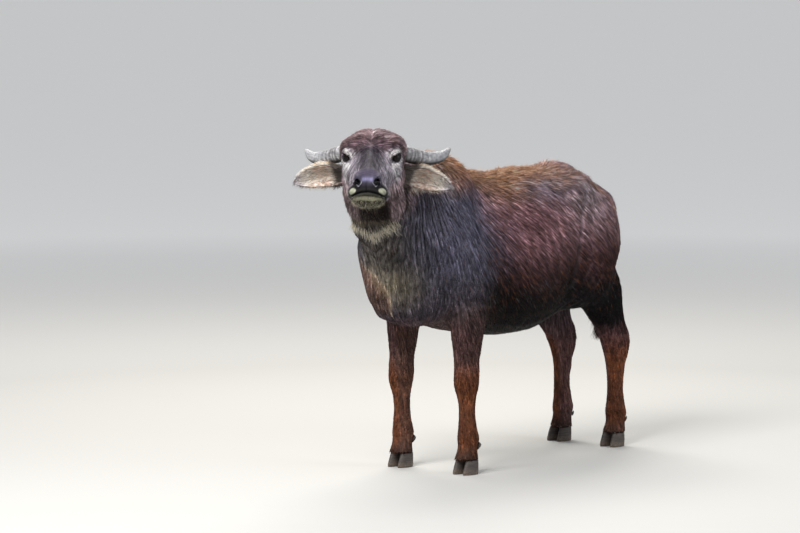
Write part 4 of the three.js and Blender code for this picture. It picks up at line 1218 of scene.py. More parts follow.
def hair_mesh(name, points, patterns, levels, corner_uv, shades, middle_uv):
    """Tufts of the same faces as one mesh, each with its colour and its patch of the unwrap."""
    count, corners = points.shape[:2]
    base = (np.arange(count) * corners)[:, None, None]
    faces = [(base + np.array(pattern)[None]).reshape(-1, len(pattern[0])) for pattern in patterns]
    mesh = mesh_from(name, points.reshape(-1, 3), faces)
    colours = shades[:, None, :] * np.array(levels)[None, :, None]
    keep_colours(mesh, np.clip(colours.reshape(-1, 3), 0, 1))
    uv = (middle_uv[:, None, :] + np.array(corner_uv)[None] * UNWRAP_PATCH).reshape(-1, 2)
    layer = mesh.uv_layers.new(name="OFBake")
    used = np.concatenate([group.ravel() for group in faces])
    layer.uv.foreach_set("vector", uv[used].astype(np.float32).ravel())
    return mesh


def needle_mesh(name, spots, normals, ways, sizes, shades, offsets, wrap):
    """Short straight tufts of four faces."""
    length, width, lift = (size[:, None] for size in sizes)
    sunk = spots - normals * (0.0005 + 0.12 * width)
    tip = sunk + (ways * np.cos(lift) + normals * np.sin(lift)) * length + offsets
    half = unit(np.cross(normals, ways)) * (width / 2)
    corners = np.stack((sunk - half, sunk + half, sunk + normals * (width * 0.55), tip), axis=1)
    faces = [((0, 1, 3), (1, 2, 3), (2, 0, 3), (2, 1, 0))]
    corner_uv = ((-1, -1), (1, -1), (0, 0), (0, 1.0))
    # painted shade and light: each tuft darker at its root and underside, lighter on its top and towards its
    # tip
    return hair_mesh(name, corners, faces, (0.66, 0.66, 0.92, 1.22), corner_uv, shades, wrap(spots))


def tuft_mesh(name, spots, normals, ways, sizes, shades, offsets, wrap, seed):
    """Longer tapered tufts with a bend."""
    length, width, lift = (size[:, None] for size in sizes)
    across = unit(np.cross(normals, ways))
    bend = np.random.default_rng(seed).normal(0, 0.1, len(spots))[:, None] * across
    middle_way = ways * np.cos(lift) + normals * np.sin(lift) + bend
    tip_way = ways + normals * (np.sin(lift) * 0.55) + bend * 2.2
    sunk = spots - normals * (0.0006 + 0.1 * width)
    bent = sunk + middle_way * (length * 0.5)
    middle, tip = bent + offsets * 0.35, bent + tip_way * (length * 0.5) + offsets
    half, thick = across * (width / 2), normals * (width * 0.42)
    points = np.stack((
        sunk - half, sunk + half, sunk + thick,
        middle - half * 0.8, middle + half * 0.8, middle + thick * 0.8, tip,
    ), axis=1)
    faces = [((0, 1, 4, 3), (1, 2, 5, 4), (2, 0, 3, 5)), ((3, 4, 6), (4, 5, 6), (5, 3, 6), (2, 1, 0))]
    # painted shade and light: each tuft darker at its root and underside, lighter on its top and towards its
    # tip
    levels = (0.62, 0.62, 0.8, 0.92, 0.92, 1.05, 1.3)
    corner_uv = ((-1, -1), (1, -1), (0, -0.6), (-0.8, 0.2), (0.8, 0.2), (0, 0.5), (0, 1.0))
    return hair_mesh(name, points, faces, levels, corner_uv, shades, wrap(spots))


def patch(u, v, size=0.98):
    """Places in the unwrap, a little inside its edge."""
    return upright(0.01 + size * u, 0.01 + size * v)


def turned_share(x, y):
    """How far round a place is, from 0 to 1."""
    return np.arctan2(x, y) / (2 * math.pi) + 0.5


def trunk_wrap(spots):
    """Unwrap of half the trunk: along it, and round from the back to the belly."""
    x, y, z = to_body(spots)
    return patch(np.clip((y + 0.8) / 1.52, 0, 1), np.arctan2(np.abs(x), z - 0.78) / math.pi)


def limb_wrap(spots):
    """Unwrap of the four legs, each in its own quarter."""
    x, y, z = to_body(spots)
    fore = y < 0.15
    round_it = turned_share(np.abs(x) - np.where(fore, FORE_FOOT[0], HIND_FOOT[0]),
                            y - np.where(fore, FORE_FOOT[1], HIND_FOOT[1] + 0.01))
    quarter = upright(np.where(x > 0, 0.5, 0), np.where(fore, 0.5, 0))
    return patch(round_it, np.clip((z - 0.04) / 0.62, 0, 1), 0.46) + quarter


def head_wrap(spots):
    """Unwrap of the head: round it, and from the poll to the muzzle."""
    side, front, up = to_head(spots).T
    return patch(turned_share(side, up + 0.045), np.clip((front + 0.2) / 0.48, 0, 1))


def ear_wrap(spots):
    """Unwrap of the ears: each in its own half."""
    side, _, up = to_head(spots).T
    wide = np.abs(side)
    along = 0.48 * np.clip((wide - 0.09) / 0.21, 0, 1) + np.where(side > 0, 0.5, 0)
    return patch(along / 0.98, np.clip((up + 0.2 + 0.2 * (wide - 0.1)) / 0.17, 0, 1))


def switch_wrap(spots):
    """Unwrap of the tail's brush: round it and down it."""
    low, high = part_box("tail_switch")
    x, y = spots[:, 0] - (low.x + high.x) / 2, spots[:, 1] - (low.y + high.y) / 2
    return patch(turned_share(x, y), np.clip((spots[:, 2] - high.z + 0.1) / 0.13, 0, 1), 0.96) + 0.01


def hide_finish():
    """Dark skin with fine wrinkles, coloured by its markings."""
    maker = Maker("hide")
    colour = maker.kept()
    grain = maker.noise(420.0, 3.0, 0.6)
    crease = maker.node("ShaderNodeTexVoronoi", {"feature": "DISTANCE_TO_EDGE"}, {
        "Vector": maker.place, "Scale": 260.0})
    strand = maker.strands(2.0, 0.6, (520.0, 520.0, 90.0))
    shaded = maker.mix(grain * 0.5, colour, maker.times(colour, 0.55, 0.52, 0.5))
    shaded = maker.mix(strand.above(0.55, 0.75) * 0.35, shaded, maker.times(colour, 1.7, 1.6, 1.5))
    maker.set(Base_Color=shaded, Roughness=0.52 + grain * 0.22, Specular_IOR_Level=0.16)
    maker.bump(crease * 1.6 + strand * 0.5 + grain * 0.4, 0.5, 0.0012)
    return maker.material


def coat_finish(name, gloss, dim=0.7):
    """Hair: its own colour on each tuft, with a soft sheen along it."""
    maker = Maker(name)
    colour = maker.kept()
    strand = maker.strands(1.0, 0.5, (900.0, 900.0, 260.0), (0.3, 0.0, 0.0))
    shaded = maker.mix(strand.above(0.35, 0.65), maker.times(colour, dim, dim - 0.02, dim - 0.04), colour)
    maker.set(Base_Color=shaded, Roughness=gloss + strand * 0.12, Specular_IOR_Level=0.09)
    return maker.material


def horn_finish():
    """Grey horn with pale growth rings, and painted shade that darkens its underside."""
    maker = Maker("horn_keratin")
    tint = maker.kept()
    streak = maker.strands(4.0, 0.6, (60.0, 60.0, 240.0))
    fleck = maker.noise(520.0, 3.0, 0.65)
    worn = maker.mix(streak.above(0.38, 0.66), maker.times(tint, 0.62, 0.62, 0.66), tint)
    worn = maker.mix(fleck.above(0.6, 0.74) * 0.5, worn, maker.times(tint, 0.35, 0.33, 0.33))
    maker.set(Base_Color=worn, Roughness=0.42 + fleck * 0.25)
    maker.bump(streak * 0.8 + fleck * 0.6, 0.7, 0.0016)
    return maker.material


def hoof_finish():
    """Dark hoof horn with growth lines level with the ground, and dried mud low down."""
    maker = Maker("hoof_keratin")
    lines = maker.strands(3.0, 0.6, (26.0, 26.0, 520.0))
    grain = maker.noise(300.0, 3.0, 0.6)
    height = maker.node("ShaderNodeSeparateXYZ", {}, {0: maker.place}, 2)
    dark = maker.mix(lines.above(0.35, 0.7), rgb(44, 38, 36), rgb(78, 68, 62))
    mud = (1 - height.above(0.004, 0.03)) * grain.above(0.4, 0.62)
    maker.set(Base_Color=maker.mix(mud * 0.7, dark, rgb(126, 108, 90)), Roughness=0.45 + grain * 0.3)
    maker.bump(lines * 0.8 + grain * 0.3, 0.5, 0.0011)
    return maker.material


def eye_finish():
    """A near black eye with a dark brown ring round a level pupil, wet all over."""
    maker = Maker("eye_wet")
    fibre = maker.noise(900.0, 3.0, 0.6)
    maker.set(Base_Color=maker.mix(fibre * 0.35, maker.kept(), (0.003, 0.002, 0.002, 1)), Roughness=0.4,
              Coat_Weight=0.3, Coat_Roughness=0.02, Specular_IOR_Level=0.02)
    return maker.material


def horn_path(side):
    """The line along the middle of a horn, in the head's axes."""
    spread, drop = HORN_SPREAD[side], HORN_DROP[side]
    return spline([
        (side * 0.076, -0.066, -0.002), (side * 0.116, -0.086, -0.016), (side * 0.17, -0.128, -0.044),
        (side * (spread - 0.032), 0.052 - HORN_SWEEP, -0.056 - drop / 2),
        (side * spread, -HORN_SWEEP, -0.042 - drop),
    ])


def horn_tree(material):
    """Geometry Nodes that sweep a flattened round along a path, with growth rings that fade to the tip."""
    tree = GeometryTree(
        "ringed_horn", root_radius=HORN_ROOT_RADIUS, ring_height=HORN_RING_HEIGHT, rings=HORN_RINGS)
    share = tree.node("GeometryNodeSplineParameter", out="Factor")
    taper = tree.maths("SQRT", tree.maths("MAXIMUM", 1.0 - share ** 2.2, 0.0015))
    wave = tree.maths("SINE", share ** 0.8 * (tree.given("rings") * 6.283))
    ripple = wave * (1.0 - share) ** 1.6 * tree.given("ring_height")
    radius = taper * tree.given("root_radius") + ripple
    curve = tree.node("GeometryNodeMeshToCurve", {}, {"Mesh": tree.given("Geometry")})
    level = tree.node("GeometryNodeSetCurveNormal", {"mode": "Z_UP"}, {"Curve": curve})
    sized = tree.node("GeometryNodeSetCurveRadius", {}, {"Curve": level, "Radius": radius})
    circle = tree.node("GeometryNodeCurvePrimitiveCircle", {"mode": "RADIUS"}, {
        "Resolution": 36, "Radius": 1.0})
    flat = tree.node("GeometryNodeTransform", {}, {"Geometry": circle, "Scale": (0.93, 1.09, 1.0)})
    return tree.finish(tree.node("GeometryNodeCurveToMesh", {}, {
        "Curve": sized, "Profile Curve": flat, "Scale": radius, "Fill Caps": True}), material)


def horn_mesh(side, sizes, group):
    """One horn, from inside the head to its blunt tip, with its colours."""
    shares = np.linspace(0, 1, 80)
    line = from_head(horn_path(side)(shares))
    path = bpy.data.meshes.new("horn_line")
    path.from_pydata([tuple(place) for place in line], [(i, i + 1) for i in range(79)], [])
    mesh = outwards(through_modifiers(path, ("NODES", {
        "node_group": group, "root_radius": sizes.root_radius, "ring_height": sizes.ring_height,
        "rings": sizes.rings,
    })))
    places, facing = places_of(mesh), normals_of(mesh) @ HEAD_AXES.T
    share = shares[nearest_on(line, places)[1]]
    horn = Paint(places, 156, 156, 158)
    # painted shade: the underside of the horn near black
    horn.over(ramp(0.0, -0.5, facing[:, 2]) * 0.98, 17, 16, 19)
    horn.over(ramp(0.5, 0.28, share) * 0.3, 104, 96, 92)
    horn.over(ramp(0.9, 1.0, share) * 0.5, 170, 166, 158)
    wander = cloud(upright(share * 0.2, 0, 0), 0.02, 94)
    rings = 0.5 + 0.5 * np.sin(share ** 0.8 * sizes.rings * 6.283 + 2.4 * wander)
    gaps = ramp(0.35, 0.75, rings + 0.5 * cloud(places, 0.012, 93)) * ramp(0.62, 0.35, share)
    horn.over(gaps * 0.55, 48, 42, 42)
    flaky = cloud(places, 0.008, 91) + 0.6 * cloud(places, 0.004, 92)
    bark = cloud(upright(share * 0.2, facing[:, 2] * 0.016, facing[:, 1] * 0.01), 0.0042, 95)
    horn.shade(np.exp((0.4 * flaky + 0.75 * bark) * (1 - share) ** 0.7 + 0.12 - 0.22 * (side > 0)))
    keep_colours(mesh, np.clip(horn.colours, 0.002, 0.9))
    return mesh


def claw_mesh(name):
    """One claw: flat sole, pointed toe, sloping front and fine growth lines."""
    low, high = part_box(name)
    middle = ((low.x + high.x) / 2, low.y + CLAW_MIDDLE, 0.0)
    inner = -1 if name.endswith("inner") else 1
    side = 1 if middle[0] > ORIGIN[0] else -1
    z = np.concatenate(([0, 0.0015, 0.003], np.linspace(0.006, 0.0505, 23)))[:, None]
    length, width, shift = (look_up(CLAW_LAYERS, z, k) for k in (1, 2, 3))
    lines = 0.004 * np.sin(z * 2 * math.pi / CLAW_LINES) * ramp(0.004, 0.012, z)
    angle = np.linspace(0, 2 * math.pi, 44, endpoint=False)[None]
    toe, heel = np.maximum(-np.sin(angle), 0), np.maximum(np.sin(angle), 0)
    x = np.cos(angle) * CLAW_HALF_WIDTH * (1 - 0.3 * toe ** 3) * (1 - 0.1 * heel ** 4)
    x = x * np.where(np.cos(angle) * inner * side < 0, 0.9, 1.0) * (width + lines)
    y = np.sin(angle) * CLAW_HALF_LENGTH * (1 - 0.2 * heel) * (length + lines) + shift
    return loft_mesh("claw", np.stack(np.broadcast_arrays(x, y, z), axis=-1) + middle)


def eyeball_mesh(side):
    """One eye: a ball with a slight bulge in front, dark all over, with a level pupil."""
    across, up, gaze = eye_axes(side)
    look = unit(gaze + across * 0.12 - up * 0.02)
    level = unit(across - look * (across @ look))
    axes = np.array((level, np.cross(look, level), look))
    polar = np.linspace(0.012, math.pi - 0.012, 48)[:, None]
    angle = np.linspace(0, 2 * math.pi, 96, endpoint=False)[None]
    way = np.stack(np.broadcast_arrays(
        np.sin(polar) * np.cos(angle), np.sin(polar) * np.sin(angle), np.cos(polar)), axis=-1) @ axes
    bulge = 1 - 0.012 * ramp(0.35, 0.75, polar)
    mesh = loft_mesh("eye", EYE_CENTRES[side] + way * (EYE_RADIUS * bulge)[..., None])
    a, b, c = (unit(places_of(mesh) - EYE_CENTRES[side]) @ axes.T).T
    iris = np.hypot(a, b)
    eye = Paint(a, 30, 22, 20)
    eye.over(ramp(0.86, 0.8, iris) * (c > 0), 20, 13, 11)
    eye.over(bell(iris, 0.81, 0.05) * (c > 0), 8, 7, 7)
    eye.over(ramp(1.1, 0.9, np.hypot(a / 0.4, b / 0.24)) * (c > 0), 5, 5, 7)
    keep_colours(mesh, eye.colours)
    return mesh


def varied(shades, places, draw):
    """Tufts' colours: lighter, darker, orange and grey hairs among the rest."""
    _, y, z = to_body(places)
    shades = shades * np.exp(draw.normal(0, 0.3, len(places)))[:, None]
    pick = draw.random(len(places))
    body = ramp(-0.4, -0.1, y) * ramp(0.56, 0.7, z)
    shades = blend(shades, 0.55 * (pick < 0.13 * body + 0.015), tone(150, 96, 64))
    shades = blend(shades, 0.58 * ((pick > 0.8) & (pick < 0.97)), 0)
    pale = pick > 1 - 0.1 * (1 - body) * ramp(0.55, 0.7, z)
    return np.clip(blend(shades, 0.5 * pale, tone(150, 148, 150)), 0.002, 1)


def grow(skin, density, shape, seed):
    """Scatters tufts: shape gives length, width and lift for places and normals."""
    spots, normals = scatter(skin, density, seed)
    draw = np.random.default_rng(seed + 1)
    count = len(spots)
    length, width, lift = shape(spots, normals)
    length = length * draw.uniform(0.72, 1.22, count)
    width = width * draw.uniform(0.75, 1.25, count)
    lift = np.clip(lift * draw.uniform(0.5, 1.4, count), 0.03, 1.4)
    offsets = held_to(across_normals(gathered(spots, *HAIR_IN_LOCKS, seed + 2), normals), 0.25, length)
    shades = varied(markings(spots, normals), spots, draw)
    return spots, normals, lie_of_coat(spots, normals), length, width, lift, shades, offsets


def add_coat(name, grown, chosen, wrap, material, slot):
    """Makes coat pieces from the chosen tufts, each small enough."""
    index = np.nonzero(chosen)[0]
    index = index[np.argsort(cloud(grown[0][index], 0.002, 77), kind="stable")]
    parts = max(1, math.ceil(len(index) / NEEDLES_IN_A_PIECE))
    for number, some in enumerate(np.array_split(index, parts)):
        full = name if parts == 1 else f"{name}_{number + 1}"
        spots, normals, ways, length, width, lift, shades, offsets = (values[some] for values in grown)
        mesh = needle_mesh(full, spots, normals, ways, (length, width, lift), shades, offsets, wrap)
        add_piece(full, mesh, material, slot)


def strands(name, grown, wrap, seed, clump=0.08, pull=0.35):
    """Long hairs as thin tapered tufts drawn together into locks."""
    roots, normals, ways, sizes, shades = grown
    offsets = held_to(gathered(roots, clump, pull, seed), 0.3, sizes[0])
    return tuft_mesh(name, roots, normals, ways, sizes, np.clip(shades, 0, 1), offsets, wrap, seed)


def throat_level(places):
    """Height above the pale chevron of hair where the jaw meets the throat."""
    x, _, z = to_body(places)
    return z - (0.88 + 0.42 * np.abs(x - 0.012))


def throat_mask(places, normals):
    """The pale chevron itself."""
    aside = np.abs(to_body(places)[0] - 0.01)
    band = bell(throat_level(places) + 0.006 * cloud(places, 0.02, 51), -0.004, 0.01)
    return band * ramp(0.125, 0.09, aside) * ramp(0.05, -0.25, normals[:, 1])


def jaw_mask(places, normals):
    """The brown hair under the jaw, between chin and throat."""
    _, front, up = to_head(places).T
    above = ramp(0.004, 0.02, throat_level(places)) * ramp(-0.1, -0.125, up)
    return above * ramp(0.2, 0.16, front) * ramp(0.25, -0.1, normals[:, 2])


def crest_mask(places, normals):
    """The curly hair along the back, from the withers to the hip."""
    _, y, z = to_body(places)
    along = ramp(-0.58, -0.46, y) * ramp(0.42, 0.26, y)
    return along * ramp(0.55, 0.88, normals[:, 2]) * ramp(0.92, 0.98, z)


def chest_mask(places, normals):
    """The second pale chevron, low on the front of the neck."""
    x, _, z = to_body(places)
    aside = np.abs(x + 0.004)
    band = bell(z, 0.668 + 0.9 * aside, 0.014) * ramp(0.075, 0.05, aside)
    return band * ramp(0.1, -0.4, normals[:, 1])


def crown_mask(places, normals):
    """The longer hair over the crown of the head and the poll."""
    _, front, up = to_head(places).T
    on_head = ramp(0.02, -0.03, behind_neck(places))
    return ramp(0.01, -0.05, front) * ramp(0.01, 0.045, up) * on_head


def ear_hair(side, seed):
    """Long hair inside an ear's cup and along its lower edge."""
    draw = np.random.default_rng(seed)
    inner, edge = 3600, 700
    t = np.concatenate((draw.uniform(0.04, 0.9, inner), draw.uniform(0.06, 0.82, edge)))
    s = np.concatenate((draw.uniform(-0.98, 0.95, inner), np.full(edge, -0.96)))
    count = inner + edge
    on_edge = np.arange(count) >= inner
    place, along, back, up = ear_place(side, t, s)
    wall = np.where(on_edge, 0.0006, np.interp(t, (0, 0.45), (0.0045, 0.0016)))[:, None]
    roots = place - back * (2 * wall + 0.0004)
    inner_way = along * 0.75 + s[:, None] * up * (0.95 - 0.5 * t[:, None])
    edge_way = along * 0.6 - up - back * 0.35
    ways = np.where(on_edge[:, None], edge_way, inner_way) + draw.normal(0, 0.12, (count, 3))
    ways = unit(across_normals(ways, back, 0.6))
    length = np.where(on_edge, np.interp(t, (0, 0.4, 0.82), (0.03, 0.022, 0.01)),
                      np.interp(t, (0, 0.5, 0.9), (0.032, 0.026, 0.013))) * draw.uniform(0.7, 1.2, count)
    lift = np.where(on_edge, 0.12, np.interp(np.abs(s), (0, 1), (0.5, 0.22))) * draw.uniform(0.6, 1.3, count)
    width = 0.0015 * draw.uniform(0.7, 1.3, count)
    middle = bell(t, 0.5, 0.2) * bell(s, -0.05, 0.55) * ~on_edge
    shades = np.where(on_edge[:, None], tone(206, 184, 160), tone(250, 240, 228))
    shades = blend(shades, middle * 0.6 * draw.uniform(0.3, 1.0, count), tone(222, 160, 124))
    shades = blend(shades, ramp(0.72, 0.9, t) * 0.7, tone(182, 178, 186))
    shades = shades * np.exp(draw.normal(0, 0.22, count) - 1.1 * (draw.random(count) < 0.1))[:, None]
    shades = blend(shades, ramp(0.38, 0.26, t) * 0.92, tone(40, 34, 37))
    return from_head(roots), -back @ HEAD_AXES, ways @ HEAD_AXES, (length, width, lift), shades


def switch_hair(seed):
    """The brush of long hair at the end of the tail."""
    draw = np.random.default_rng(seed)
    low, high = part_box("tail_switch")
    count = 2600
    share = draw.uniform(0, 1, count) ** 0.8
    angle = draw.uniform(0, 2 * math.pi, count)
    out = upright(np.cos(angle), np.sin(angle), 0)
    z = high.z + 0.02 - 0.105 * share
    roots = upright((low.x + high.x) / 2, (low.y + high.y) / 2, z) + out * (0.0105 - 0.004 * share)[:, None]
    length = np.minimum((0.125 - 0.02 * share) * draw.uniform(0.65, 1.1, count), z - low.z - 0.002)
    ways = out * (0.1 - 0.05 * share)[:, None] + DOWN
    ways = unit(ways + draw.normal(0, 0.035, (count, 3)))
    lift = draw.uniform(0.02, 0.12, count)
    brush = Paint(share, 48, 36, 33)
    brush.shade(np.exp(draw.normal(0, 0.3, count)))
    brush.over(share * 0.6, 92, 58, 42)
    return roots, out, ways, (length, np.full(count, 0.0026), lift), brush.colours


def bristle_tree(material):
    """Geometry Nodes that stand thin curved bristles on the points of a mesh, along their given ways."""
    tree = GeometryTree("bristles", length=0.018, thickness=0.0007, curl=0.3)
    way = tree.node("GeometryNodeInputNamedAttribute", {"data_type": "FLOAT_VECTOR"}, {"Name": "way"})
    turn = tree.node("FunctionNodeAlignRotationToVector", {"axis": "Z"}, {"Vector": way})
    uneven, roll = (
        tree.node("FunctionNodeRandomValue", {"data_type": "FLOAT"}, {2: low, 3: high, "Seed": seed}, 1)
        for low, high, seed in ((0.6, 1.25, 11), (0.0, 6.28, 12))
    )
    cone = tree.node("GeometryNodeMeshCone", {"fill_type": "NGON"}, {
        "Vertices": 4, "Side Segments": 4, "Radius Top": 0.03, "Radius Bottom": 0.5, "Depth": 1.0}, "Mesh")
    place = tree.node("GeometryNodeInputPosition")
    x, y, z = (tree.node("ShaderNodeSeparateXYZ", {}, {0: place}, k) for k in range(3))
    thin = tree.given("thickness") / tree.given("length")
    bent = x * thin + z ** 2.0 * tree.given("curl")
    moved = tree.node("ShaderNodeCombineXYZ", {}, (bent, y * thin, z))
    shaped = tree.node("GeometryNodeSetPosition", {}, {"Geometry": cone, "Position": moved})
    stood = tree.node("GeometryNodeInstanceOnPoints", {}, {
        "Points": tree.given("Geometry"), "Instance": shaped, "Rotation": turn,
        "Scale": tree.given("length") * uneven})
    spin = tree.node("ShaderNodeCombineXYZ", {}, {2: roll})
    spun = tree.node("GeometryNodeRotateInstances", {}, {"Instances": stood, "Rotation": spin})
    return tree.finish(spun, material)


def bristle_mesh(roots, ways, group, length, thickness, curl):
    """Bristles standing on the given roots."""
    points = bpy.data.meshes.new("roots")
    points.from_pydata([tuple(root) for root in roots], [], [])
    kept = points.attributes.new("way", "FLOAT_VECTOR", "POINT")
    kept.data.foreach_set("vector", np.asarray(ways, dtype=np.float32).ravel())
    return through_modifiers(points, ("NODES", {
        "node_group": group, "length": length, "thickness": thickness, "curl": curl}))


def lash_roots(side):
    """Roots and ways of the lashes along the edge of the upper lid."""
    across, up, _ = eye_axes(side)
    draw = np.random.default_rng(61 + side)
    a, _, edge = on_lid_edge(side, np.linspace(0.25, math.pi - 0.25, 46) + draw.normal(0, 0.02, 46))
    ways = unit(edge * 0.75 + up * 0.25 + 0.35 * DOWN + a[:, None] * across * 18)
    return EYE_CENTRES[side] + edge * (EYE_RADIUS + 0.0022), ways


def amount(name, description, default, **more):
    """A number setting."""
    return FloatProperty(name=name, description=description, default=default, **more)


class BUFFALO_PG_stage(PropertyGroup):
    """Floor, light and camera."""

    floor_colour: FloatVectorProperty(
        name="Floor", description="Colour of the floor near the animal", subtype="COLOR", size=4,
        min=0, max=1, default=rgb(186, 185, 182),
    )
    key_power: amount("Key light", "Power of the large soft light", 380.0, unit="POWER")
    fill_power: amount("Fill light", "Power of the light opposite", 60.0, unit="POWER")
    rim_power: amount("Rim light", "Power of the light behind", 220.0, unit="POWER")
    camera_turn: amount(
        "Camera turn", "How far the camera stands round to the left of the chest", math.radians(38),
        subtype="ANGLE")
    camera_rise: amount("Camera rise", "How far the camera looks down", math.radians(6), subtype="ANGLE")
    camera_distance: amount("Camera distance", "Distance from the animal", 16.0, unit="LENGTH")


class BUFFALO_PG_horns(PropertyGroup):
    """Sizes of the horns."""

    root_radius: amount(
        "Root radius", "Half the width of a horn where it leaves the head", HORN_ROOT_RADIUS, unit="LENGTH")
    ring_height: amount("Ring height", "Height of the growth rings", HORN_RING_HEIGHT, unit="LENGTH")
    rings: amount("Rings", "How many growth rings a horn has", HORN_RINGS)


class BUFFALO_PG_coat(PropertyGroup):
    """Sizes of the coat."""

    trunk_length: amount("Body hair", "Length of the tufts on the body", 0.03, unit="LENGTH")
    trunk_width: amount("Tuft width", "Width of the tufts on the body", 0.0028, unit="LENGTH")
    leg_length: amount("Leg hair", "Length of the tufts on the legs", 0.017, unit="LENGTH")
    face_length: amount("Face hair", "Length of the tufts on the face", 0.0095, unit="LENGTH")
    trunk_tufts: amount("Body tufts", "Tufts on a square metre of the body", 72000.0, min=100.0)
    leg_tufts: amount("Leg tufts", "Tufts on a square metre of the legs", 62000.0, min=100.0)
    face_tufts: amount("Face tufts", "Tufts on a square metre of the face", 230000.0, min=100.0)
    seed: IntProperty(name="Seed", description="Seed of all the random draws", default=7)


def looking(holder, place, aim):
    """Adds a lamp or camera at a place, turned towards an aim."""
    item = bpy.data.objects.new(holder.name, holder)
    bpy.context.scene.collection.objects.link(item)
    item.location = place
    item.rotation_euler = (aim - item.location).to_track_quat("-Z", "Y").to_euler()
    return item


def floor_piece(near):
    """A level floor of the colour given near the animal, that fades to a pale one far away."""
    corners = ORIGIN + FLOOR_REACH * np.array(((-1, -1, 0), (1, -1, 0), (1, 1, 0), (-1, 1, 0)))
    maker = Maker("studio_floor")
    far = maker.node("ShaderNodeVectorMath", {"operation": "LENGTH"}, [maker.place], 1) * 0.16 - 0.5
    maker.set(Base_Color=maker.mix(far, near, rgb(240, 240, 240)), Roughness=0.9,
              Emission_Color=maker.mix(far, rgb(0, 0, 0), rgb(128, 126, 122)), Emission_Strength=1.0)
    maker.bump(maker.noise(900.0), 0.15, 0.0004)
    return put_in_scene("floor", mesh_from("floor", corners, [[(0, 1, 2, 3)]]), maker.material)


class BUFFALO_OT_stage(Operator):
    """Sets up the floor, the lights and the camera"""

    bl_idname = "buffalo.stage"
    bl_label = "Stage"

    def execute(self, context):
        scene = context.scene
        sizes = scene.buffalo_stage
        floor_piece(tuple(sizes.floor_colour))
        turn, rise = sizes.camera_turn, sizes.camera_rise
        right = Vector((math.cos(turn), math.sin(turn), 0))
        away = Vector((-math.sin(turn), math.cos(turn), 0))
        # places of the lamps to the camera's right, away from it and up, with width and depth
        for name, place, size, power, colour in (
            ("key", (-2.0, -3.4, 4.4), (2.6, 2.2), sizes.key_power, (1.0, 0.985, 0.96)),
            ("fill", (3.8, -1.2, 1.9), (2.4, 2.4), sizes.fill_power, (0.93, 0.96, 1.0)),
            ("rim", (-0.4, 3.0, 4.2), (3.0, 1.4), sizes.rim_power, (1.0, 0.96, 0.88)),
        ):
            lamp = bpy.data.lights.new(name, "AREA")
            lamp.shape, lamp.size, lamp.size_y, lamp.energy, lamp.color = "RECTANGLE", *size, power, colour
            stand = Vector(ORIGIN) + right * place[0] + away * place[1] + Vector((0, 0, place[2]))
            looking(lamp, stand, Vector(ORIGIN) + Vector((0, 0, 0.65)))
        scene.world = bpy.data.worlds.new("studio_air")
        scene.world.use_nodes = True
        air = scene.world.node_tree.nodes["Background"].inputs
        air["Color"].default_value, air["Strength"].default_value = (0.9, 0.94, 1.0, 1.0), 0.42
        back = Vector((math.sin(turn) * math.cos(rise), -math.cos(turn) * math.cos(rise), math.sin(rise)))
        lens = bpy.data.cameras.new("camera")
        lens.lens, lens.sensor_width = LENS, 36.0
        aim = CAMERA_TARGET + right * CAMERA_ASIDE + back.cross(right) * CAMERA_ABOVE
        scene.camera = looking(lens, CAMERA_TARGET + back * sizes.camera_distance, aim)
        scene.view_settings.view_transform = "Standard"
        return {"FINISHED"}


class BUFFALO_OT_skin(Operator):
    """Builds the skin over head, ears, neck, trunk, legs and tail"""

    bl_idname = "buffalo.skin"
    bl_label = "Skin"

    def execute(self, context):
        mesh = build_skin()
        keep_colours(mesh, markings(places_of(mesh), normals_of(mesh)) * HIDE_SHADE)
        mesh.shade_smooth()
        add_piece("skin", mesh, hide_finish(), "body_coat", *FLESH)
        return {"FINISHED"}


class BUFFALO_OT_eyes(Operator):
    """Builds the two eyes"""

    bl_idname = "buffalo.eyes"
    bl_label = "Eyes"

    def execute(self, context):
        material = eye_finish()
        for side, name in zip(SIDES, ("eye_left", "eye_right")):
            add_piece(f"ball_{name}", eyeball_mesh(side), material, "eye", name)
        return {"FINISHED"}


class BUFFALO_OT_horns(Operator):
    """Builds the two ringed horns"""

    bl_idname = "buffalo.horns"
    bl_label = "Horns"

    def execute(self, context):
        material = horn_finish()
        group = horn_tree(material)
        for side, name in zip(SIDES, ("horn_left", "horn_right")):
            mesh = horn_mesh(side, context.scene.buffalo_horns, group)
            add_piece(f"ringed_{name}", mesh, material, "horn", name)
        return {"FINISHED"}


class BUFFALO_OT_hooves(Operator):
    """Builds the eight claws and the eight dewclaws"""

    bl_idname = "buffalo.hooves"
    bl_label = "Hooves"

    def execute(self, context):
        material = hoof_finish()
        claws, small = (
            sorted(name for name in NODES if name.startswith(start)) for start in ("hoof_", "dewclaw_"))
        joined = edited([claw_mesh(name) for name in claws])
        smooth = ("SUBSURF", {"levels": 2, "render_levels": 2})
        rounded = through_modifiers(merged_copy(small, 0.0006), smooth)
        rounded.shade_smooth()
        add_piece("claws", joined, material, "hoof", *claws)
        add_piece("dewclaws", rounded, material, "hoof", *small)
        return {"FINISHED"}


def shares_of(places):
    """How surely places belong to the head, the legs and the ears."""
    ear = near_ear(places)
    head = ramp(0.0, -0.012, behind_neck(places)) * (1 - ear)
    return head, ramp(0.56, 0.5, places[:, 2]), ear


def trunk_density(places, normals):
    """Share of the body's tufts that places get."""
    head, leg, ear = shares_of(places)
    return (1 - np.maximum(head, ear)) * (1 - leg)


def leg_density(places, normals):
    """Share of the legs' tufts that places get."""
    return shares_of(places)[1] * ramp(0.046, 0.056, places[:, 2])


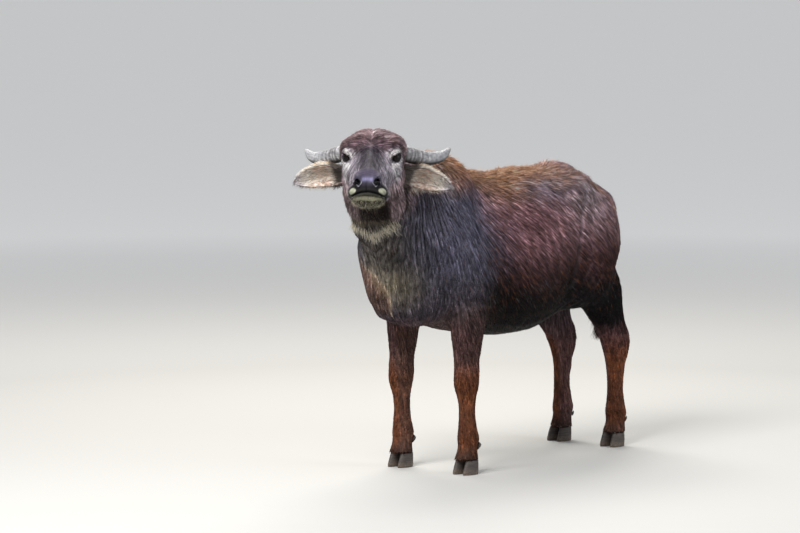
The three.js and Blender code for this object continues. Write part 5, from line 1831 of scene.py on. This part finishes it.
def head_density(places, normals):
    """Share of the face's tufts that places get: none on muzzle, lids and lips, and under the horns."""
    _, front, up = to_face(places)
    bare = np.zeros(len(places))
    for which in SIDES:
        _, a, b, c = seen_from_eye(which, places)
        bare = np.maximum(bare, ramp(1.7, 1.45, opening_share(a, b)) * (c > 0))
    lips = ramp(0.165, 0.19, front) * bell(up, look_up(MOUTH_LINE, front) + 0.001, 0.006)
    roots = np.vstack([horn_path(which)(np.linspace(0, 0.4, 9)) for which in SIDES])
    free = (1 - ramp(0.19, 0.215, front)) * (1 - bare) * (1 - lips)
    return shares_of(places)[0] * free * ramp(0.022, 0.026, nearest_on(roots, to_head(places))[0])


def ear_density(places, normals):
    """Share of the ears' tufts that places get: only their backs."""
    return shares_of(places)[2] * ramp(0.1, -0.3, (normals @ HEAD_AXES.T)[:, 1])


def trunk_shape(places, normals):
    """Length, width and lift of the body's tufts, as shares of their sizes."""
    _, y, z = to_body(places)
    crest = crest_mask(places, normals)
    front = ramp(-0.25, -0.45, y)
    length = (1 - 0.3 * front + 0.1 * crest) * (1 - 0.35 * ramp(0.64, 0.5, z))
    return length, 1 - 0.15 * front, 0.1 - 0.03 * front + 0.2 * crest


def leg_shape(places, normals):
    """Length, width and lift of the legs' tufts."""
    z = places[:, 2]
    return 0.75 + 0.7 * ramp(0.25, 0.55, z), 0.0024 + 0.0008 * ramp(0.3, 0.55, z), 0.11


def head_shape(places, normals):
    """Length, width and lift of the face's tufts."""
    front = to_head(places)[:, 1]
    crown, jaw = crown_mask(places, normals), jaw_mask(places, normals)
    far = ramp(0.1, -0.06, front)
    length = (0.8 + 0.35 * far + 0.6 * crown + 0.7 * jaw) * (1 - 0.35 * ramp(0.14, 0.2, front))
    return length, 0.0011 + 0.0004 * far + 0.0004 * crown, 0.14 + 0.03 * crown + 0.08 * jaw


class BUFFALO_OT_coat(Operator):
    """Grows the short coat over trunk, legs, head and ears"""

    bl_idname = "buffalo.coat"
    bl_label = "Coat"

    def execute(self, context):
        sizes = context.scene.buffalo_coat
        skin = bpy.data.objects["skin"].data
        material = coat_finish("coat_hair", 0.46)
        # tufts a square metre and where, length, width factor, shape, wrap, slot
        regions = {
            "trunk": (sizes.trunk_tufts, trunk_density, sizes.trunk_length, sizes.trunk_width, trunk_shape,
                      trunk_wrap, "body_coat"),
            "legs": (sizes.leg_tufts, leg_density, sizes.leg_length, 1, leg_shape, limb_wrap, "leg_coat"),
            "head": (sizes.face_tufts, head_density, sizes.face_length, 1, head_shape,
                     head_wrap, "face_skin"),
            "ears": (EAR_TUFTS, ear_density, 0.0085, 0.0012, lambda *_: (1, 1, 0.1), ear_wrap, "ear_skin"),
        }
        for turn, (name, region) in enumerate(regions.items()):
            tufts, density, long, wide, shape, wrap, slot = region

            def sized(places, normals):
                length, width, lift = shape(places, normals)
                return long * length, wide * width, lift

            grown = grow(skin, lambda *given: tufts * density(*given), sized, sizes.seed + 10 * turn)
            left = grown[0][:, 0] > ORIGIN[0]
            halves = {"_left": left, "_right": ~left} if name == "trunk" else {"": left | ~left}
            for end, chosen in halves.items():
                add_coat(f"coat_{name}{end}", grown, chosen, wrap, material, slot)
        return {"FINISHED"}


class BUFFALO_OT_long_hair(Operator):
    """Grows the fringe of the throat, the jaw, back, crown, ears and tail"""

    bl_idname = "buffalo.long_hair"
    bl_label = "Long hair"

    def execute(self, context):
        seed = context.scene.buffalo_coat.seed + 100
        skin = bpy.data.objects["skin"].data
        material = coat_finish("long_hair", 0.4, 0.88)
        # mask, tufts a square metre, length, width, lift, colour, share of that colour, wrap, slot
        kinds = {
            "throat": (throat_mask, 90000, 0.031, 0.0013, 0.2, (236, 226, 204), 0.85, trunk_wrap,
                       "neck_coat"),
            "chest": (chest_mask, 50000, 0.028, 0.0016, 0.15, (150, 138, 108), 0.5, trunk_wrap, "neck_coat"),
            "jaw": (jaw_mask, 60000, 0.02, 0.0012, 0.18, (44, 31, 27), 0.4, head_wrap, "face_skin"),
            "back": (crest_mask, 14000, 0.026, 0.0016, 0.75, (176, 122, 70), 0.6, trunk_wrap, "body_coat"),
            "crown": (crown_mask, 90000, 0.016, 0.0011, 0.26, (150, 122, 118), 0.4, head_wrap, "face_skin"),
        }
        for turn, (name, kind) in enumerate(kinds.items(), seed):
            mask, density, length, width, lift, colour, share, wrap, slot = kind
            draw = np.random.default_rng(turn)
            roots, normals = scatter(skin, lambda p, n: density * mask(p, n), turn)
            keep = draw.permutation(len(roots))[:TUFTS_IN_A_PIECE]
            roots, normals = roots[keep], normals[keep]
            count = len(roots)
            ways = lie_of_coat(roots, normals)
            if name in ("throat", "chest", "jaw"):
                aside = np.clip((to_body(roots)[0] - 0.012) * 9, -0.7, 0.7)
                ways = unit(ways * 0.3 + across_normals(upright(aside, -0.1, -1.0), normals, 0.8))
            ways = unit(ways + draw.normal(0, 0.16, (count, 3)))
            sizes = (length * draw.uniform(0.6, 1.25, count), np.full(count, width),
                     lift * draw.uniform(0.5, 1.3, count))
            shades = blend(markings(roots, normals), np.full(count, share), tone(*colour))
            shades = shades * np.exp(draw.normal(0, 0.32, count))[:, None]
            if name == "jaw":
                pale = (draw.random(count) < 0.1) * ramp(0.03, -0.02, to_head(roots)[:, 0])
                shades = blend(shades, pale * 0.8, tone(176, 158, 148))
            mesh = strands(f"hair_{name}", (roots, normals, ways, sizes, shades), wrap, turn)
            add_piece(f"hair_{name}", mesh, material, slot)
        for side, name in zip(SIDES, ("hair_ear_left", "hair_ear_right")):
            mesh = strands(name, ear_hair(side, seed + 20 + side), ear_wrap, seed + side)
            add_piece(name, mesh, material, "ear_skin")
        brush = strands("tail_brush", switch_hair(seed + 40), switch_wrap, seed + 41, 0.012, 0.6)
        add_piece("tail_brush", brush, material, "switch_hair", "tail_switch")
        return {"FINISHED"}


def chin_bristles(places, normals):
    """Bristles a square metre on the chin."""
    side, front, up = to_face(places)
    chin = ramp(-0.008, -0.014, up - look_up(MOUTH_LINE, front)) * ramp(0.15, 0.2, front)
    return 70000 * chin * ramp(-0.105, -0.085, up) * ramp(0.06, 0.048, np.abs(side))


def lip_bristles(places, normals):
    """Bristles a square metre on the upper lip."""
    side, front, up = to_face(places)
    above = bell(up, look_up(MOUTH_LINE, front) + 0.014, 0.007)
    return 40000 * above * ramp(0.036, 0.046, np.abs(side)) * ramp(0.17, 0.19, front)


class BUFFALO_OT_bristles(Operator):
    """Stands the bristles of chin and lips and the lashes on the skin"""

    bl_idname = "buffalo.bristles"
    bl_label = "Bristles"

    def execute(self, context):
        skin = bpy.data.objects["skin"].data
        pale, dark = Maker("pale_bristle"), Maker("lash")
        for maker, low, high in (
            (pale, rgb(126, 120, 96), rgb(186, 180, 154)), (dark, rgb(22, 18, 17), rgb(48, 38, 34)),
        ):
            maker.set(Base_Color=maker.mix(maker.noise(240.0, 1.0), low, high), Roughness=0.45)
        group = bristle_tree(pale.material)
        for name, density, length in (("chin", chin_bristles, 0.009), ("lips", lip_bristles, 0.006)):
            roots, normals = scatter(skin, density, 71)
            draw = np.random.default_rng(72)
            ways = unit(normals + 0.55 * DOWN + draw.normal(0, 0.22, (len(roots), 3)))
            mesh = bristle_mesh(roots, ways, group, length, 0.00045, 0.35)
            add_piece(f"bristles_{name}", mesh, pale.material, "face_skin")
        group = bristle_tree(dark.material)
        for side, name in zip(SIDES, ("lashes_left", "lashes_right")):
            mesh = bristle_mesh(*lash_roots(side), group, 0.011, 0.0008, 0.2)
            add_piece(name, mesh, dark.material, "face_skin")
        return {"FINISHED"}


class BUFFALO_PT_panel(Panel):
    """Lists the pieces and their sizes."""

    bl_label = "Water Buffalo"
    bl_idname = "BUFFALO_PT_panel"
    bl_space_type = "VIEW_3D"
    bl_region_type = "UI"
    bl_category = "Buffalo"

    def draw(self, context):
        for group in (context.scene.buffalo_stage, context.scene.buffalo_horns, context.scene.buffalo_coat):
            box = self.layout.box()
            for name in group.__annotations__:
                box.prop(group, name)
        for operator in OPERATORS:
            self.layout.operator(operator.bl_idname)


OPERATORS = (
    BUFFALO_OT_stage, BUFFALO_OT_skin, BUFFALO_OT_eyes, BUFFALO_OT_horns, BUFFALO_OT_hooves,
    BUFFALO_OT_coat, BUFFALO_OT_long_hair, BUFFALO_OT_bristles,
)
GROUPS = {"stage": BUFFALO_PG_stage, "horns": BUFFALO_PG_horns, "coat": BUFFALO_PG_coat}


def register():
    """Makes the settings, operators and panel known."""
    for item in (*GROUPS.values(), *OPERATORS, BUFFALO_PT_panel):
        bpy.utils.register_class(item)
    for name, group in GROUPS.items():
        setattr(bpy.types.Scene, f"buffalo_{name}", PointerProperty(type=group))


def unregister():
    """Removes them again."""
    for name in GROUPS:
        delattr(bpy.types.Scene, f"buffalo_{name}")
    for item in (BUFFALO_PT_panel, *reversed(OPERATORS), *GROUPS.values()):
        bpy.utils.unregister_class(item)


def main():
    """Builds every piece in order."""
    register()
    bpy.ops.buffalo.stage()
    bpy.ops.buffalo.skin()
    bpy.ops.buffalo.eyes()
    bpy.ops.buffalo.horns()
    bpy.ops.buffalo.hooves()
    bpy.ops.buffalo.coat()
    bpy.ops.buffalo.long_hair()
    bpy.ops.buffalo.bristles()


if __name__ == "__main__":
    main()
